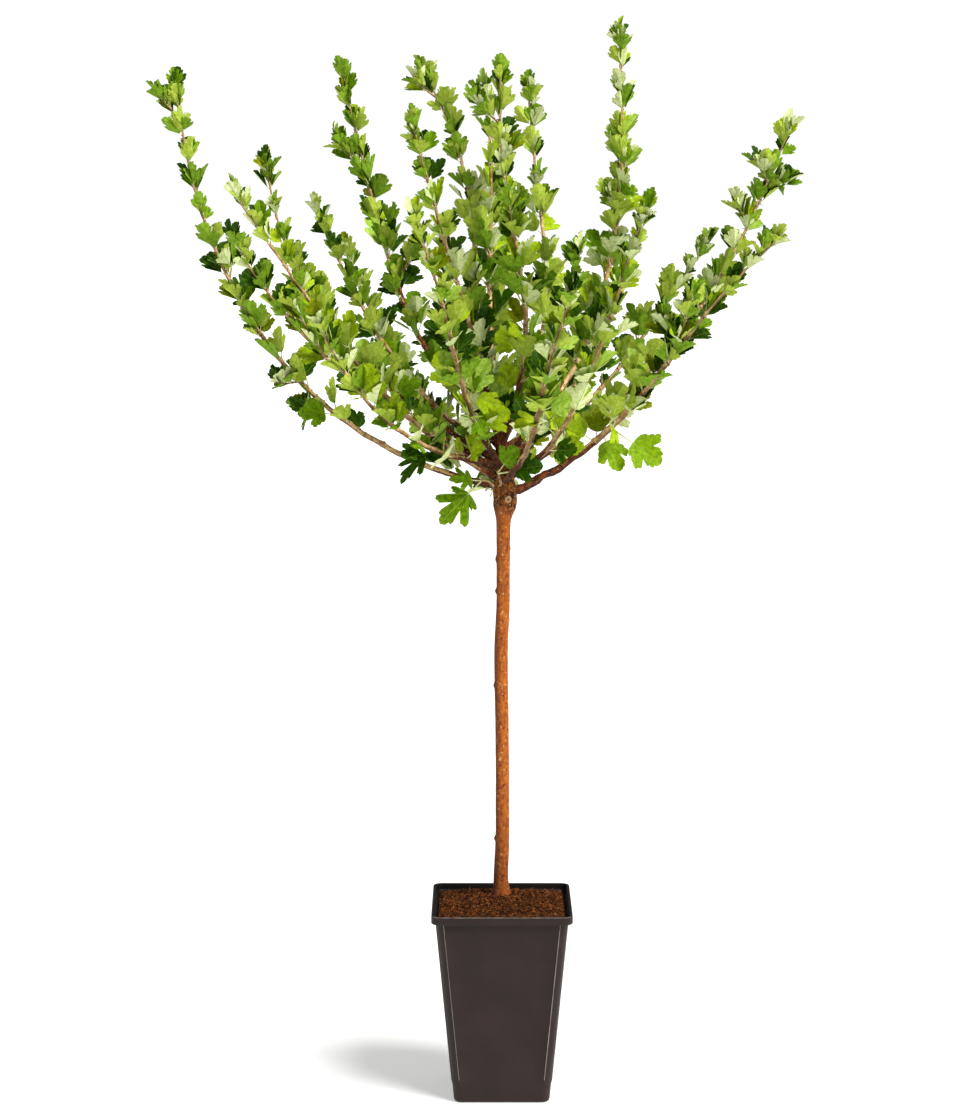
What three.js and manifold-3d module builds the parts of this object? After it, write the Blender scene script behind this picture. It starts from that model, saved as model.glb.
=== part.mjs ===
// A standard gooseberry bush: a vase-shaped crown of leafy canes on a tall bare stem, standing in a
// deep square nursery pot. Millimetres, +Z up. The origin is the middle of the pot's flat underside,
// +X is to the right and -Y is the front.
import * as THREE from "three";
import { mergeVertices } from "three/addons/utils/BufferGeometryUtils.js";
import Module from "manifold-3d";

const wasm = await Module();
wasm.setup();

// ---------------------------------------------------------------- driving dimensions
const GAP = 0.3; // clearance between two pieces that touch
const FINE = 0.04; // detail smaller than this is smoothed away where solids are fused
const DEG = Math.PI / 180;
const UP = new THREE.Vector3(0, 0, 1);

const POT = {
  height: 210,
  footHalf: 51.5, // half the width across the flats at the foot
  wallHalf: 69.8, // half the width just under the collar
  rimHalf: 75, // half the width over the collar
  footCorner: 9,
  rimCorner: 10,
  collar: 9, // height of the collar
  wall: 1.8,
  floor: 4,
  footRound: 3,
  collarEdge: 0.6, // small bevel under the collar
  rimRound: 1,
  innerCorner: 2, // least corner radius inside
  cornerSteps: 4,
  drainRadius: 5,
  drainSides: 12,
  drainSpacing: 28, // from the middle to each drain hole, along X and Y
};

// The soil's edge lies sink below the rim, and it rises to the foot of the stem in rings: each with its
// half width and corner as shares of the edge's half width, its share of the rise and of the shift.
const SOIL = {
  sink: 7,
  rings: [
    { half: 0.66, corner: 0.4, rise: 0.45, shift: 0.4 },
    { half: 0.36, corner: 0.3, rise: 0.85, shift: 0.8 },
    { half: 0.18, corner: 0.16, rise: 1, shift: 1 },
  ],
};

const STEM = { x: 1, y: 22, sides: 12 };
// Height, radius and sideways drift of the stem from its root flare to the graft and the leader's tip.
const STEM_STATIONS = [
  [211.3, 10.4, -1.6],
  [217, 9.0, -1.6],
  [228, 8.0, -1.8],
  [258, 7.6, -0.5],
  [320, 7.3, -0.1],
  [400, 7.2, -0.7],
  [470, 7.3, -1.8],
  [540, 7.1, 0.5],
  [600, 7.3, 0.5],
  [622, 8.0, 1.0],
  [636, 11.2, 2.0],
  [650, 12.2, 2.4],
  [662, 10.4, 1.2],
  [680, 8.0, -0.6],
  [698, 6.4, -1.2],
  [712, 4.6, -1.4],
];
const STEM_FOOT = STEM_STATIONS[0][0];
const STEM_TIP = STEM_STATIONS.at(-1)[0];
// A pruned snag on the graft.
const STUB = { height: 646, azimuth: 292, slope: -0.12, radius: 4, reach: 15, sides: 8 };

// Each cane leaves the leader at height foot, in the vertical plane at azimuth (degrees from +X,
// anticlockwise from above), and arches out by reach to its tip at height top. launch and finish are
// its slopes in degrees at either end. bow swings its middle sideways and wave bends it to and fro.
// Where they differ from CANE's: bare, the length of its bough, clear, the length that has no leaves
// but marked ones, and girth, its thickness as a share of the others'.
const CANES = [
  { azimuth: 344, foot: 648, reach: 288, top: 916, launch: 24, finish: 43, bow: 6, wave: 9, clear: 100, girth: 1.3 },
  { azimuth: 20, foot: 664, reach: 332, top: 1034, launch: 29, finish: 67, bow: -6, wave: -1, clear: 60 },
  { azimuth: 33, foot: 690, reach: 268, top: 906, launch: 19, finish: 48, bow: -1, wave: -2 },
  { azimuth: 42, foot: 698, reach: 171, top: 1134, launch: 23, finish: 86, bow: -7, wave: 7 },
  { azimuth: 60, foot: 672, reach: 290, top: 892, launch: 25, finish: 60, bow: 6, wave: -5 },
  { azimuth: 74, foot: 708, reach: 101, top: 1076, launch: 65, finish: 85, bow: -28, wave: -7 },
  { azimuth: 90, foot: 686, reach: 262, top: 965, launch: 30, finish: 65, bow: 5, wave: 6 },
  { azimuth: 98, foot: 709, reach: 128, top: 1078, launch: 66, finish: 67, bow: 4, wave: 4 },
  { azimuth: 115, foot: 700, reach: 204, top: 1096, launch: 53, finish: 45, bow: -12, wave: 5 },
  { azimuth: 126, foot: 668, reach: 300, top: 898, launch: 18, finish: 55, bow: 5, wave: 4 },
  { azimuth: 136, foot: 698, reach: 244, top: 1091, launch: 38, finish: 80, bow: -5, wave: 7 },
  { azimuth: 149, foot: 688, reach: 237, top: 942, launch: 29, finish: 60, bow: 4, wave: 2 },
  { azimuth: 166, foot: 682, reach: 261, top: 994, launch: 32, finish: 83, bow: 7, wave: 7 },
  { azimuth: 177, foot: 656, reach: 345, top: 1074, launch: 11, finish: 83, bow: 4, wave: -5, clear: 80 },
  { azimuth: 191, foot: 674, reach: 284, top: 917, launch: 30, finish: 59, bow: -4, wave: 2 },
  { azimuth: 208, foot: 664, reach: 304, top: 964, launch: 29, finish: 55, bow: 4, wave: -6 },
  { azimuth: 222, foot: 684, reach: 250, top: 840, launch: 2, finish: 55, bow: -5, wave: 4 },
  { azimuth: 229, foot: 694, reach: 140, top: 1034, launch: 72, finish: 64, bow: -4, wave: 2, bare: 18 },
  { azimuth: 243, foot: 678, reach: 195, top: 942, launch: 40, finish: 68, bow: 6, wave: -5, bare: 18 },
  { azimuth: 268, foot: 704, reach: 93, top: 1084, launch: 70, finish: 82, bow: 19, wave: 10, bare: 18 },
  { azimuth: 284, foot: 662, reach: 270, top: 870, launch: 22, finish: 55, bow: -4, wave: 5 },
  { azimuth: 301, foot: 680, reach: 148, top: 906, launch: 47, finish: 72, bow: 2, wave: 3, bare: 18 },
  { azimuth: 322, foot: 668, reach: 185, top: 950, launch: 16, finish: 57, bow: -2, wave: -9 },
];
const CANE = {
  handle: 0.4, // length of the arch's handles as a share of its span
  start: 4, // distance of a cane's foot from the leader's axis
  footRadius: 3.5,
  tipRadius: 0.9,
  bare: 40, // length of the leafless bough, up to where its foliage begins
  sides: 6,
  steps: 12, // straight lengths from foot to tip
};

// Marked side shoots: the cane's place in the list above, the share of its length where it starts,
// its direction as an azimuth and a rise in degrees, its length, and the age of its leaves.
const SIDE_SHOOTS = [
  { cane: 0, at: 0.62, azimuth: 180, rise: 65, length: 40, age: 0.6 },
  { cane: 1, at: 0.86, azimuth: 340, rise: 15, length: 22, age: 0.9 },
  { cane: 8, at: 0.92, azimuth: 180, rise: 35, length: 26, age: 0.9 },
  { cane: 10, at: 0.78, azimuth: 180, rise: 48, length: 42, age: 0.8 },
  { cane: 10, at: 0.5, azimuth: 350, rise: 60, length: 50, age: 0.4 },
  { cane: 13, at: 0.95, azimuth: 180, rise: 45, length: 28, age: 0.95 },
  { cane: 13, at: 0.36, azimuth: 195, rise: -25, length: 20, age: 0.3 },
  { cane: 13, at: 0.42, azimuth: 230, rise: -5, length: 26, age: 0.2 },
  { cane: 19, at: 0.88, azimuth: 180, rise: 40, length: 30, age: 0.9 },
];

// Short leafy spurs that grow straight from the graft and hang a little. age sets their leaves' size.
const SPURS = [
  { azimuth: 205, foot: 652, reach: 26, top: 664, launch: 30, finish: -10, bow: 0, wave: 0, age: 0.7 },
  { azimuth: 108, foot: 646, reach: 58, top: 646, launch: 20, finish: -30, bow: 0, wave: 0, age: 0.3 },
  { azimuth: 256, foot: 652, reach: 24, top: 674, launch: 45, finish: 20, bow: 0, wave: 0, age: 0.4 },
];
const SPUR = { bare: 0.3, footRadius: 2.2, steps: 4 };

// Large leaves that mark the fork: the limb's place among the canes and then the spurs, the share of
// its length where the leaf starts, its direction as an azimuth and a rise, and its length.
const MARKED_LEAVES = [
  { limb: 0, at: 0.31, azimuth: 315, rise: -55, length: 43 },
  { limb: 0, at: 0.34, azimuth: 336, rise: -31, length: 66 },
  { limb: 0, at: 0.18, azimuth: 301, rise: 60, length: 46 },
  { limb: 0, at: 0.22, azimuth: 226, rise: 34, length: 41 },
  { limb: 13, at: 0.33, azimuth: 216, rise: 6, length: 46 },
  { limb: 13, at: 0.36, azimuth: 105, rise: -3, length: 29 },
  { limb: 15, at: 0.18, azimuth: 211, rise: -28, length: 64 },
  { limb: 15, at: 0.14, azimuth: 223, rise: -16, length: 52 },
  { limb: 15, at: 0.22, azimuth: 301, rise: 7, length: 36 },
  { limb: 17, at: 0.1, azimuth: 200, rise: 0, length: 40 },
  { limb: 18, at: 0.12, azimuth: 247, rise: 60, length: 26 },
  { limb: 21, at: 0.14, azimuth: 318, rise: 15, length: 52 },
  { limb: 22, at: 0.26, azimuth: 223, rise: 37, length: 46 },
  { limb: 22, at: 0.2, azimuth: 323, rise: 0, length: 41 },
  { limb: 23, at: 0.95, azimuth: 201, rise: -42, length: 64 },
  { limb: 23, at: 0.9, azimuth: 213, rise: 4, length: 44 },
  { limb: 25, at: 0.9, azimuth: 325, rise: 12, length: 56 },
  { limb: 25, at: 0.98, azimuth: 325, rise: 48, length: 38 },
];
// Their upper faces look to the front and up by as much as this, in degrees.
const MARKED_FACE = { azimuth: 270, rise: 25 };

// Leaves sit singly at nodes that spiral round each shoot.
const LEAF = {
  turn: 137.5, // degrees from one node to the next
  first: 12, // from the start of a shoot to its first leaf
  last: 5, // from the last leaf but one to the tip
  lowNode: 22, // spacing of the nodes low on a cane
  highNode: 14, // and at its tip
  lowLength: 54, // leaf with its stalk, low on a cane
  highLength: 25,
  lowSpread: 58, // angle from the shoot in degrees
  highSpread: 34,
  tipSpread: 12, // of the leaf that runs on from a shoot's tip
  turnJitter: 15,
  spreadJitter: 10,
  lengthJitter: 0.18, // as a share of the length
  width: 0.86, // as a share of the length
  widest: 0.64, // where along the leaf it is widest
  fold: 0.06, // how far its widest corners are raised, as a share of the length
  sizes: [1, 0.8], // sizes tried where there is little room
  sink: 0.4, // how far its root runs past the middle of the shoot
  lift: 0.8, // how strongly leaves turn up
  faceLift: 0.6, // how strongly their upper faces turn up
  roll: 50, // greatest random turn about the stalk, in degrees
};
const TWIG = {
  chance: 0.12, // of a twig at each place that may bear one
  from: 0.12, // those places, as shares of the leafy length
  to: 0.72,
  every: 0.1,
  low: 105, // length low on a cane
  high: 45,
  lengthJitter: 0.2,
  angle: 34,
  lift: 0.4,
  footRadius: 1.1,
  tipRadius: 0.63,
  bare: 0.1,
};
// Room kept between neighbouring masses, from limbs and from the leader's axis up to just over its tip.
const SPACE = { margin: 1.4, limb: 1.2, samples: 24, leader: 15, overTip: 4 };

// ---------------------------------------------------------------- small helpers
function randomSource(seed) {
  let state = (seed * 2654435761) % 4294967296;
  return () => {
    state = (state * 1664525 + 1013904223) % 4294967296;
    return state / 4294967296;
  };
}

const mix = (a, b, share) => a + (b - a) * share;

// A vector with an azimuth and a rise in degrees.
function towards(azimuth, rise, length = 1) {
  const level = length * Math.cos(rise * DEG);
  const up = length * Math.sin(rise * DEG);
  return new THREE.Vector3(level * Math.cos(azimuth * DEG), level * Math.sin(azimuth * DEG), up);
}

const jitter = (random, most) => most * (2 * random() - 1);

// A closed mesh through rings of points, all with the same number of points, capped at both ends.
function loft(rings) {
  const count = rings[0].length;
  const points = rings.flat();
  const faces = [];
  for (let ring = 0; ring + 1 < rings.length; ring++) {
    for (let i = 0; i < count; i++) {
      const a = ring * count + i;
      const b = ring * count + ((i + 1) % count);
      faces.push(a, b, b + count, a, b + count, a + count);
    }
  }
  const last = (rings.length - 1) * count;
  for (let i = 1; i + 1 < count; i++) {
    faces.push(0, i + 1, i);
    faces.push(last, last + i, last + i + 1);
  }
  const geometry = new THREE.BufferGeometry().setFromPoints(points);
  geometry.setIndex(faces);
  return geometry;
}

// A tapered tube along points, with one radius a point. Its section turns with the path.
function tube(points, radii, sides) {
  let side = null;
  const rings = points.map((point, i) => {
    const before = points[Math.max(i - 1, 0)];
    const after = points[Math.min(i + 1, points.length - 1)];
    const along = after.clone().sub(before).normalize();
    const guess = side ?? new THREE.Vector3(Math.abs(along.x) < 0.8 ? 1 : 0, 0, 0.7);
    side = guess.clone().addScaledVector(along, -guess.dot(along)).normalize();
    const other = along.clone().cross(side);
    return Array.from({ length: sides }, (_, k) => {
      const angle = (2 * Math.PI * k) / sides;
      return point
        .clone()
        .addScaledVector(side, radii[i] * Math.cos(angle))
        .addScaledVector(other, radii[i] * Math.sin(angle));
    });
  });
  return loft(rings);
}

function toSolid(geometry) {
  const bare = geometry.clone();
  bare.deleteAttribute("normal");
  bare.deleteAttribute("uv");
  const merged = mergeVertices(bare, 1e-4);
  return new wasm.Manifold(
    new wasm.Mesh({
      numProp: 3,
      vertProperties: merged.attributes.position.array,
      triVerts: new Uint32Array(merged.index.array),
    }),
  );
}

function toGeometry(solid) {
  const mesh = solid.getMesh();
  const geometry = new THREE.BufferGeometry();
  geometry.setAttribute("position", new THREE.BufferAttribute(mesh.vertProperties, 3));
  geometry.setIndex(new THREE.BufferAttribute(mesh.triVerts, 1));
  geometry.computeVertexNormals();
  return geometry;
}

// The largest closed body of a solid. Scraps and sealed hollows fall away.
function mainBody(solid) {
  const bodies = solid.simplify(FINE).decompose();
  return bodies.reduce((a, b) => (a.volume() > b.volume() ? a : b));
}

// ---------------------------------------------------------------- pot and soil
// A level rounded square, half wide from its middle to its flats.
function roundedSquare(half, corner, z, middle = [0, 0]) {
  const steps = POT.cornerSteps;
  const ring = [];
  for (let quarter = 0; quarter < 4; quarter++) {
    for (let i = 0; i <= steps; i++) {
      const angle = (quarter + i / steps) * 90 * DEG;
      const cornerAngle = (quarter + 0.5) * 90 * DEG;
      const toCorner = (half - corner) * Math.SQRT2;
      ring.push(
        new THREE.Vector3(
          middle[0] + toCorner * Math.cos(cornerAngle) + corner * Math.cos(angle),
          middle[1] + toCorner * Math.sin(cornerAngle) + corner * Math.sin(angle),
          z,
        ),
      );
    }
  }
  return ring;
}

const shoulder = POT.height - POT.collar; // where the wall meets the collar

function outerHalf(z) {
  return mix(POT.footHalf, POT.wallHalf, (z - POT.footRound) / (shoulder - POT.footRound));
}

function outerCorner(z) {
  return mix(POT.footCorner, POT.rimCorner, z / POT.height);
}

function innerRing(z, inset) {
  return roundedSquare(outerHalf(z) - inset, Math.max(outerCorner(z) - inset, POT.innerCorner), z);
}

function potSolid() {
  const shell = loft([
    roundedSquare(POT.footHalf - POT.footRound, POT.footCorner - POT.footRound, 0),
    roundedSquare(outerHalf(POT.footRound), outerCorner(0), POT.footRound),
    roundedSquare(POT.wallHalf, outerCorner(shoulder), shoulder),
    roundedSquare(POT.rimHalf - POT.collarEdge, outerCorner(shoulder), shoulder + POT.collarEdge),
    roundedSquare(POT.rimHalf, POT.rimCorner, POT.height - POT.rimRound),
    roundedSquare(POT.rimHalf - POT.rimRound, POT.rimCorner - POT.rimRound, POT.height),
    innerRing(POT.height, POT.wall),
    innerRing(POT.floor, POT.wall),
  ]);
  let pot = toSolid(shell);
  for (const [x, y] of [[1, 1], [1, -1], [-1, 1], [-1, -1]]) {
    const deep = 3 * POT.floor; // well through the floor
    const drain = new THREE.CylinderGeometry(POT.drainRadius, POT.drainRadius, deep, POT.drainSides);
    drain.rotateX(90 * DEG);
    drain.translate(x * POT.drainSpacing, y * POT.drainSpacing, 0);
    pot = pot.subtract(toSolid(drain));
  }
  return pot;
}

function soilSolid() {
  const inset = POT.wall + GAP;
  const level = POT.height - SOIL.sink;
  const crest = STEM_FOOT - GAP;
  const edge = outerHalf(level) - inset;
  const rise = SOIL.rings.map((ring) =>
    roundedSquare(edge * ring.half, edge * ring.corner, mix(level, crest, ring.rise), [
      STEM.x * ring.shift,
      STEM.y * ring.shift,
    ]),
  );
  return toSolid(loft([innerRing(POT.floor + GAP, inset), innerRing(level, inset), ...rise]));
}

// ---------------------------------------------------------------- stem
function stemTube(extra) {
  const points = STEM_STATIONS.map(([z, , drift]) => new THREE.Vector3(STEM.x + drift, STEM.y, z));
  points[0].z -= extra;
  return tube(points, STEM_STATIONS.map(([, radius]) => radius + extra), STEM.sides);
}

function stemSolid() {
  const angle = STUB.azimuth * DEG;
  const out = new THREE.Vector3(Math.cos(angle), Math.sin(angle), STUB.slope).normalize();
  const root = new THREE.Vector3(STEM.x, STEM.y, STUB.height);
  const end = root.clone().addScaledVector(out, STUB.reach);
  const snag = tube([root, end], [STUB.radius, STUB.radius], STUB.sides);
  return toSolid(stemTube(0)).add(toSolid(snag));
}

// ---------------------------------------------------------------- leaves
// The corners of a leaf: its root in the shoot, its two widest corners raised a little, and its tip.
function leafCorners({ foot, along, face, length }) {
  const across = face.clone().cross(along);
  const at = (x, y, z) =>
    foot.clone().addScaledVector(along, x).addScaledVector(across, y).addScaledVector(face, z);
  const wide = LEAF.widest * length;
  const half = (LEAF.width * length) / 2;
  const raised = LEAF.fold * length;
  return [at(-LEAF.sink, 0, 0), at(wide, half, raised), at(wide, -half, raised), at(length, 0, 0)];
}

// Points of a marked leaf, which count as part of its limb.
function leafSamples(leaf) {
  const [, left, right, tip] = leafCorners(leaf);
  const middles = [0.25, 0.5, 0.75].map((share) => leaf.foot.clone().lerp(tip, share));
  return [left, right, tip, ...middles].map((point) => ({ point, radius: 0 }));
}

// ---------------------------------------------------------------- canes
// The centre line of a cane or spur as points an equal length apart.
function centreLine(shape, samples) {
  const angle = shape.azimuth * DEG;
  const out = new THREE.Vector3(Math.cos(angle), Math.sin(angle), 0);
  const across = new THREE.Vector3(-out.y, out.x, 0);
  const at = (r, z) => new THREE.Vector3(STEM.x, STEM.y, z).addScaledVector(out, r);
  const span = Math.hypot(shape.reach - CANE.start, shape.top - shape.foot) * CANE.handle;
  const slope = (degrees) => [Math.cos(degrees * DEG) * span, Math.sin(degrees * DEG) * span];
  const [launchOut, launchUp] = slope(shape.launch);
  const [finishOut, finishUp] = slope(shape.finish);
  const arch = new THREE.CubicBezierCurve3(
    at(CANE.start, shape.foot),
    at(CANE.start + launchOut, shape.foot + launchUp),
    at(shape.reach - finishOut, shape.top - finishUp),
    at(shape.reach, shape.top),
  );
  return arch.getSpacedPoints(samples).map((point, i) => {
    const share = i / samples;
    const swing = shape.bow * Math.sin(Math.PI * share) + shape.wave * Math.sin(2 * Math.PI * share);
    return point.addScaledVector(across, swing);
  });
}

// A stretch of stem: straight lengths between points, and the radius at either end.
class Shoot {
  constructor(points, footRadius, tipRadius) {
    this.points = points;
    this.reaches = [0];
    for (let i = 1; i < points.length; i++) {
      this.reaches.push(this.reaches[i - 1] + points[i].distanceTo(points[i - 1]));
    }
    this.length = this.reaches[points.length - 1];
    this.footRadius = footRadius;
    this.tipRadius = tipRadius;
  }
  segment(share) {
    const reach = share * this.length;
    const next = this.reaches.findIndex((end, i) => i > 0 && end >= reach - 1e-6);
    return next < 0 ? this.points.length - 1 : next;
  }
  point(share) {
    const next = this.segment(share);
    const [from, to] = [this.reaches[next - 1], this.reaches[next]];
    const part = (share * this.length - from) / (to - from);
    return this.points[next - 1].clone().lerp(this.points[next], part);
  }
  along(share) {
    const next = this.segment(share);
    return this.points[next].clone().sub(this.points[next - 1]).normalize();
  }
  radius(share) {
    return mix(this.footRadius, this.tipRadius, share);
  }
  // The solid stem from one share of its length to another.
  solid(from, to, sides, extra = 0) {
    const joints = this.reaches.map((reach) => reach / this.length);
    const inner = joints.filter((share) => share > from + 0.02 && share < to - 0.02);
    const shares = [from, ...inner, to];
    return toSolid(
      tube(
        shares.map((share) => this.point(share)),
        shares.map((share) => this.radius(share) + extra),
        sides,
      ),
    );
  }
}

const canes = CANES.map((shape, i) => {
  const girth = shape.girth ?? 1;
  const shoot = new Shoot(centreLine(shape, CANE.steps), CANE.footRadius * girth, CANE.tipRadius);
  // The bough ends in the middle of a straight length, square to the foliage's stem that carries it on.
  const whole = Math.floor(((shape.bare ?? CANE.bare) / shoot.length) * CANE.steps);
  const bare = (whole + 0.5) / CANE.steps;
  const start = bare + GAP / shoot.length;
  const clear = Math.max(bare, (shape.clear ?? 0) / shoot.length);
  const sideShoots = SIDE_SHOOTS.filter(({ cane }) => cane === i);
  return { shoot, start, bare, clear, ageAt: (share) => share, twigs: true, sideShoots };
});
const spurs = SPURS.map((shape) => {
  const shoot = new Shoot(centreLine(shape, SPUR.steps), SPUR.footRadius, CANE.tipRadius);
  return { shoot, start: 0, bare: SPUR.bare, clear: SPUR.bare, ageAt: () => shape.age, twigs: false };
});

const markedFace = towards(MARKED_FACE.azimuth, MARKED_FACE.rise);
const limbShoots = [...canes, ...spurs].map(({ shoot }) => shoot);
const markedLeaves = MARKED_LEAVES.map(({ limb, at, azimuth, rise, length }) => {
  const along = towards(azimuth, rise);
  const face = markedFace.clone().addScaledVector(along, -markedFace.dot(along)).normalize();
  return { limb, foot: limbShoots[limb].point(at), along, face, length };
});

// Points on each limb's centre line and on its marked leaves, to tell whose space a place is in.
const limbs = limbShoots.map((shoot, i) => {
  const stem = Array.from({ length: SPACE.samples + 1 }, (_, k) => ({
    point: shoot.point(k / SPACE.samples),
    radius: shoot.radius(k / SPACE.samples),
  }));
  const marked = markedLeaves.filter(({ limb }) => limb === i).flatMap(leafSamples);
  return [...stem, ...marked];
});

// True where the point is nearer to its own limb than to any other, and clear of the leader.
function inOwnSpace(point, own) {
  const reach = limbs.map((limb) => Math.min(...limb.map((sample) => sample.point.distanceTo(point))));
  for (let other = 0; other < limbs.length; other++) {
    if (other === own) continue;
    if (reach[other] < reach[own] + SPACE.margin) return false;
    if (limbs[other].some((s) => s.point.distanceTo(point) < s.radius + SPACE.limb)) return false;
  }
  const fromLeader = Math.hypot(point.x - STEM.x, point.y - STEM.y);
  return point.z > STEM_TIP + SPACE.overTip || fromLeader > SPACE.leader;
}

// ---------------------------------------------------------------- boughs
// The bare lower limb of each cane, cut clear of the leader and of the limbs before it.
let woodSleeve = toSolid(stemTube(GAP)); // the wood so far, with room to spare
const boughs = canes.map(({ shoot, bare }) => {
  const limb = shoot.solid(0, bare, CANE.sides);
  const bough = mainBody(limb.subtract(woodSleeve));
  woodSleeve = woodSleeve.add(shoot.solid(0, bare, CANE.sides, GAP));
  return bough;
});

// ---------------------------------------------------------------- foliage
// One leaf as a closed solid of four faces, folded along its length and thickest in the middle.
function leafSolid(leaf) {
  const corners = leafCorners(leaf);
  const geometry = new THREE.BufferGeometry().setFromPoints(corners);
  geometry.setIndex([0, 2, 1, 1, 2, 3, 0, 1, 3, 2, 0, 3]);
  return { solid: toSolid(geometry), corners: corners.slice(1) };
}

// A direction at an angle from the shoot, turned round it, and the leaf's upper face there.
function leafFrame(along, turn, spread, roll) {
  const side = new THREE.Vector3().crossVectors(along, UP);
  if (side.length() < 0.05) side.set(1, 0, 0);
  side.normalize();
  const out = side.applyAxisAngle(along, turn * DEG);
  const way = along
    .clone()
    .multiplyScalar(Math.cos(spread * DEG))
    .addScaledVector(out, Math.sin(spread * DEG))
    .addScaledVector(UP, LEAF.lift)
    .normalize();
  const face = along
    .clone()
    .multiplyScalar(Math.sin(spread * DEG))
    .addScaledVector(out, -Math.cos(spread * DEG))
    .addScaledVector(UP, LEAF.faceLift);
  face.addScaledVector(way, -face.dot(way)).normalize();
  face.applyAxisAngle(way, roll * DEG);
  return { way, face };
}

// The leaves of one shoot, each with its foot, direction, upper face and length. ageAt gives 0 for
// growth low on a cane and 1 for growth at its tip, where nodes are closer and leaves smaller.
function leavesOf(shoot, from, ageAt, random) {
  const leaves = [];
  let turn = 360 * random();
  for (let reach = from * shoot.length + LEAF.first; reach < shoot.length - LEAF.last; ) {
    const share = reach / shoot.length;
    const age = ageAt(share);
    turn += LEAF.turn + jitter(random, LEAF.turnJitter);
    const spread = mix(LEAF.lowSpread, LEAF.highSpread, age) + jitter(random, LEAF.spreadJitter);
    const roll = jitter(random, LEAF.roll);
    const length = mix(LEAF.lowLength, LEAF.highLength, age) * (1 + jitter(random, LEAF.lengthJitter));
    const { way, face } = leafFrame(shoot.along(share), turn, spread, roll);
    leaves.push({ foot: shoot.point(share), along: way, face, length });
    reach += mix(LEAF.lowNode, LEAF.highNode, age);
  }
  // The tip carries one leaf that runs on from the shoot.
  const { way, face } = leafFrame(shoot.along(1), turn + LEAF.turn, LEAF.tipSpread, 0);
  const length = mix(LEAF.lowLength, LEAF.highLength, ageAt(1));
  leaves.push({ foot: shoot.point(1 - LEAF.sink / shoot.length), along: way, face, length });
  return leaves;
}

// The marked side shoots of a cane, and twigs that leave it at seeded places and turn up beside it.
function twigsOf(cane, random) {
  const twigs = [];
  for (const { at, azimuth, rise, length, age } of cane.sideShoots) {
    const foot = cane.shoot.point(at);
    const tip = foot.clone().add(towards(azimuth, rise, length));
    twigs.push({ age, shoot: new Shoot([foot, tip], TWIG.footRadius, TWIG.tipRadius) });
  }
  for (let share = TWIG.from; share < TWIG.to; share += TWIG.every) {
    const grows = random() < TWIG.chance;
    const turn = 360 * random();
    const stretch = 1 + jitter(random, TWIG.lengthJitter);
    if (!grows) continue;
    const age = mix(cane.bare, 1, share);
    const half = (mix(TWIG.low, TWIG.high, share) * stretch) / 2;
    const { way } = leafFrame(cane.shoot.along(age), turn, TWIG.angle, 0);
    const foot = cane.shoot.point(age);
    const knee = foot.clone().addScaledVector(way, half);
    way.addScaledVector(UP, TWIG.lift).normalize();
    const tip = knee.clone().addScaledVector(way, half);
    twigs.push({ age, shoot: new Shoot([foot, knee, tip], TWIG.footRadius, TWIG.tipRadius) });
  }
  return twigs;
}

// One mass of foliage: the leafy part of a cane or spur with its twigs and leaves fused on.
function foliageSolid(cane, own, random) {
  const pieces = [cane.shoot.solid(cane.start, 1, 3)];
  const leaves = markedLeaves.filter(({ limb }) => limb === own);
  leaves.push(...leavesOf(cane.shoot, cane.clear, cane.ageAt, random));
  for (const { age, shoot } of cane.twigs ? twigsOf(cane, random) : []) {
    if (![0.5, 1].every((share) => inOwnSpace(shoot.point(share), own))) continue;
    pieces.push(shoot.solid(0, 1, 3));
    leaves.push(...leavesOf(shoot, TWIG.bare, (share) => mix(age, 1, share), random));
  }
  for (const leaf of leaves) {
    // A leaf that would leave the space is tried smaller, then skipped.
    for (const size of LEAF.sizes) {
      const { solid, corners } = leafSolid({ ...leaf, length: leaf.length * size });
      if (!corners.every((corner) => inOwnSpace(corner, own))) continue;
      pieces.push(solid);
      break;
    }
  }
  return wasm.Manifold.union(pieces);
}

// ---------------------------------------------------------------- the whole plant
const BARK = new THREE.MeshStandardMaterial({ color: 0x9c5a28, roughness: 0.8, metalness: 0 });
const LEAFY = new THREE.MeshStandardMaterial({ color: 0x6f9a2c, roughness: 0.55, metalness: 0 });
const PLASTIC = new THREE.MeshStandardMaterial({ color: 0x35302f, roughness: 0.45, metalness: 0 });
const COMPOST = new THREE.MeshStandardMaterial({ color: 0x5f3a1e, roughness: 0.95, metalness: 0 });

const container = new THREE.Group();
const wood = new THREE.Group();
const leaves = new THREE.Group();
const bush = new THREE.Group();
bush.add(container, wood, leaves);

function place(group, name, solid, material) {
  const mesh = new THREE.Mesh(toGeometry(solid), material);
  mesh.name = name;
  group.add(mesh);
}

const numbered = (word, index) => word + "_" + String(index + 1).padStart(2, "0");

place(container, "pot", potSolid(), PLASTIC);
place(container, "soil", soilSolid(), COMPOST);
place(wood, "stem", stemSolid(), BARK);
boughs.forEach((bough, i) => place(wood, numbered("bough", i), bough, BARK));
canes.forEach((cane, i) => {
  const leafy = foliageSolid(cane, i, randomSource(i + 1));
  place(leaves, numbered("foliage", i), mainBody(leafy), LEAFY);
});
spurs.forEach((spur, i) => {
  const own = canes.length + i;
  const leafy = foliageSolid(spur, own, randomSource(own + 1));
  place(leaves, numbered("spur", i), mainBody(leafy.subtract(woodSleeve)), LEAFY);
});

export default bush;
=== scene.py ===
"""The looks of a standard gooseberry bush in a deep square nursery pot.

Lengths are worked out in millimetres, +Z up, as in the part's source, and turned into metres where a
mesh is made. The crown grows by the source's seeded rule, carried on to leaf clusters and fine spurs.
"""
import math

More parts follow.
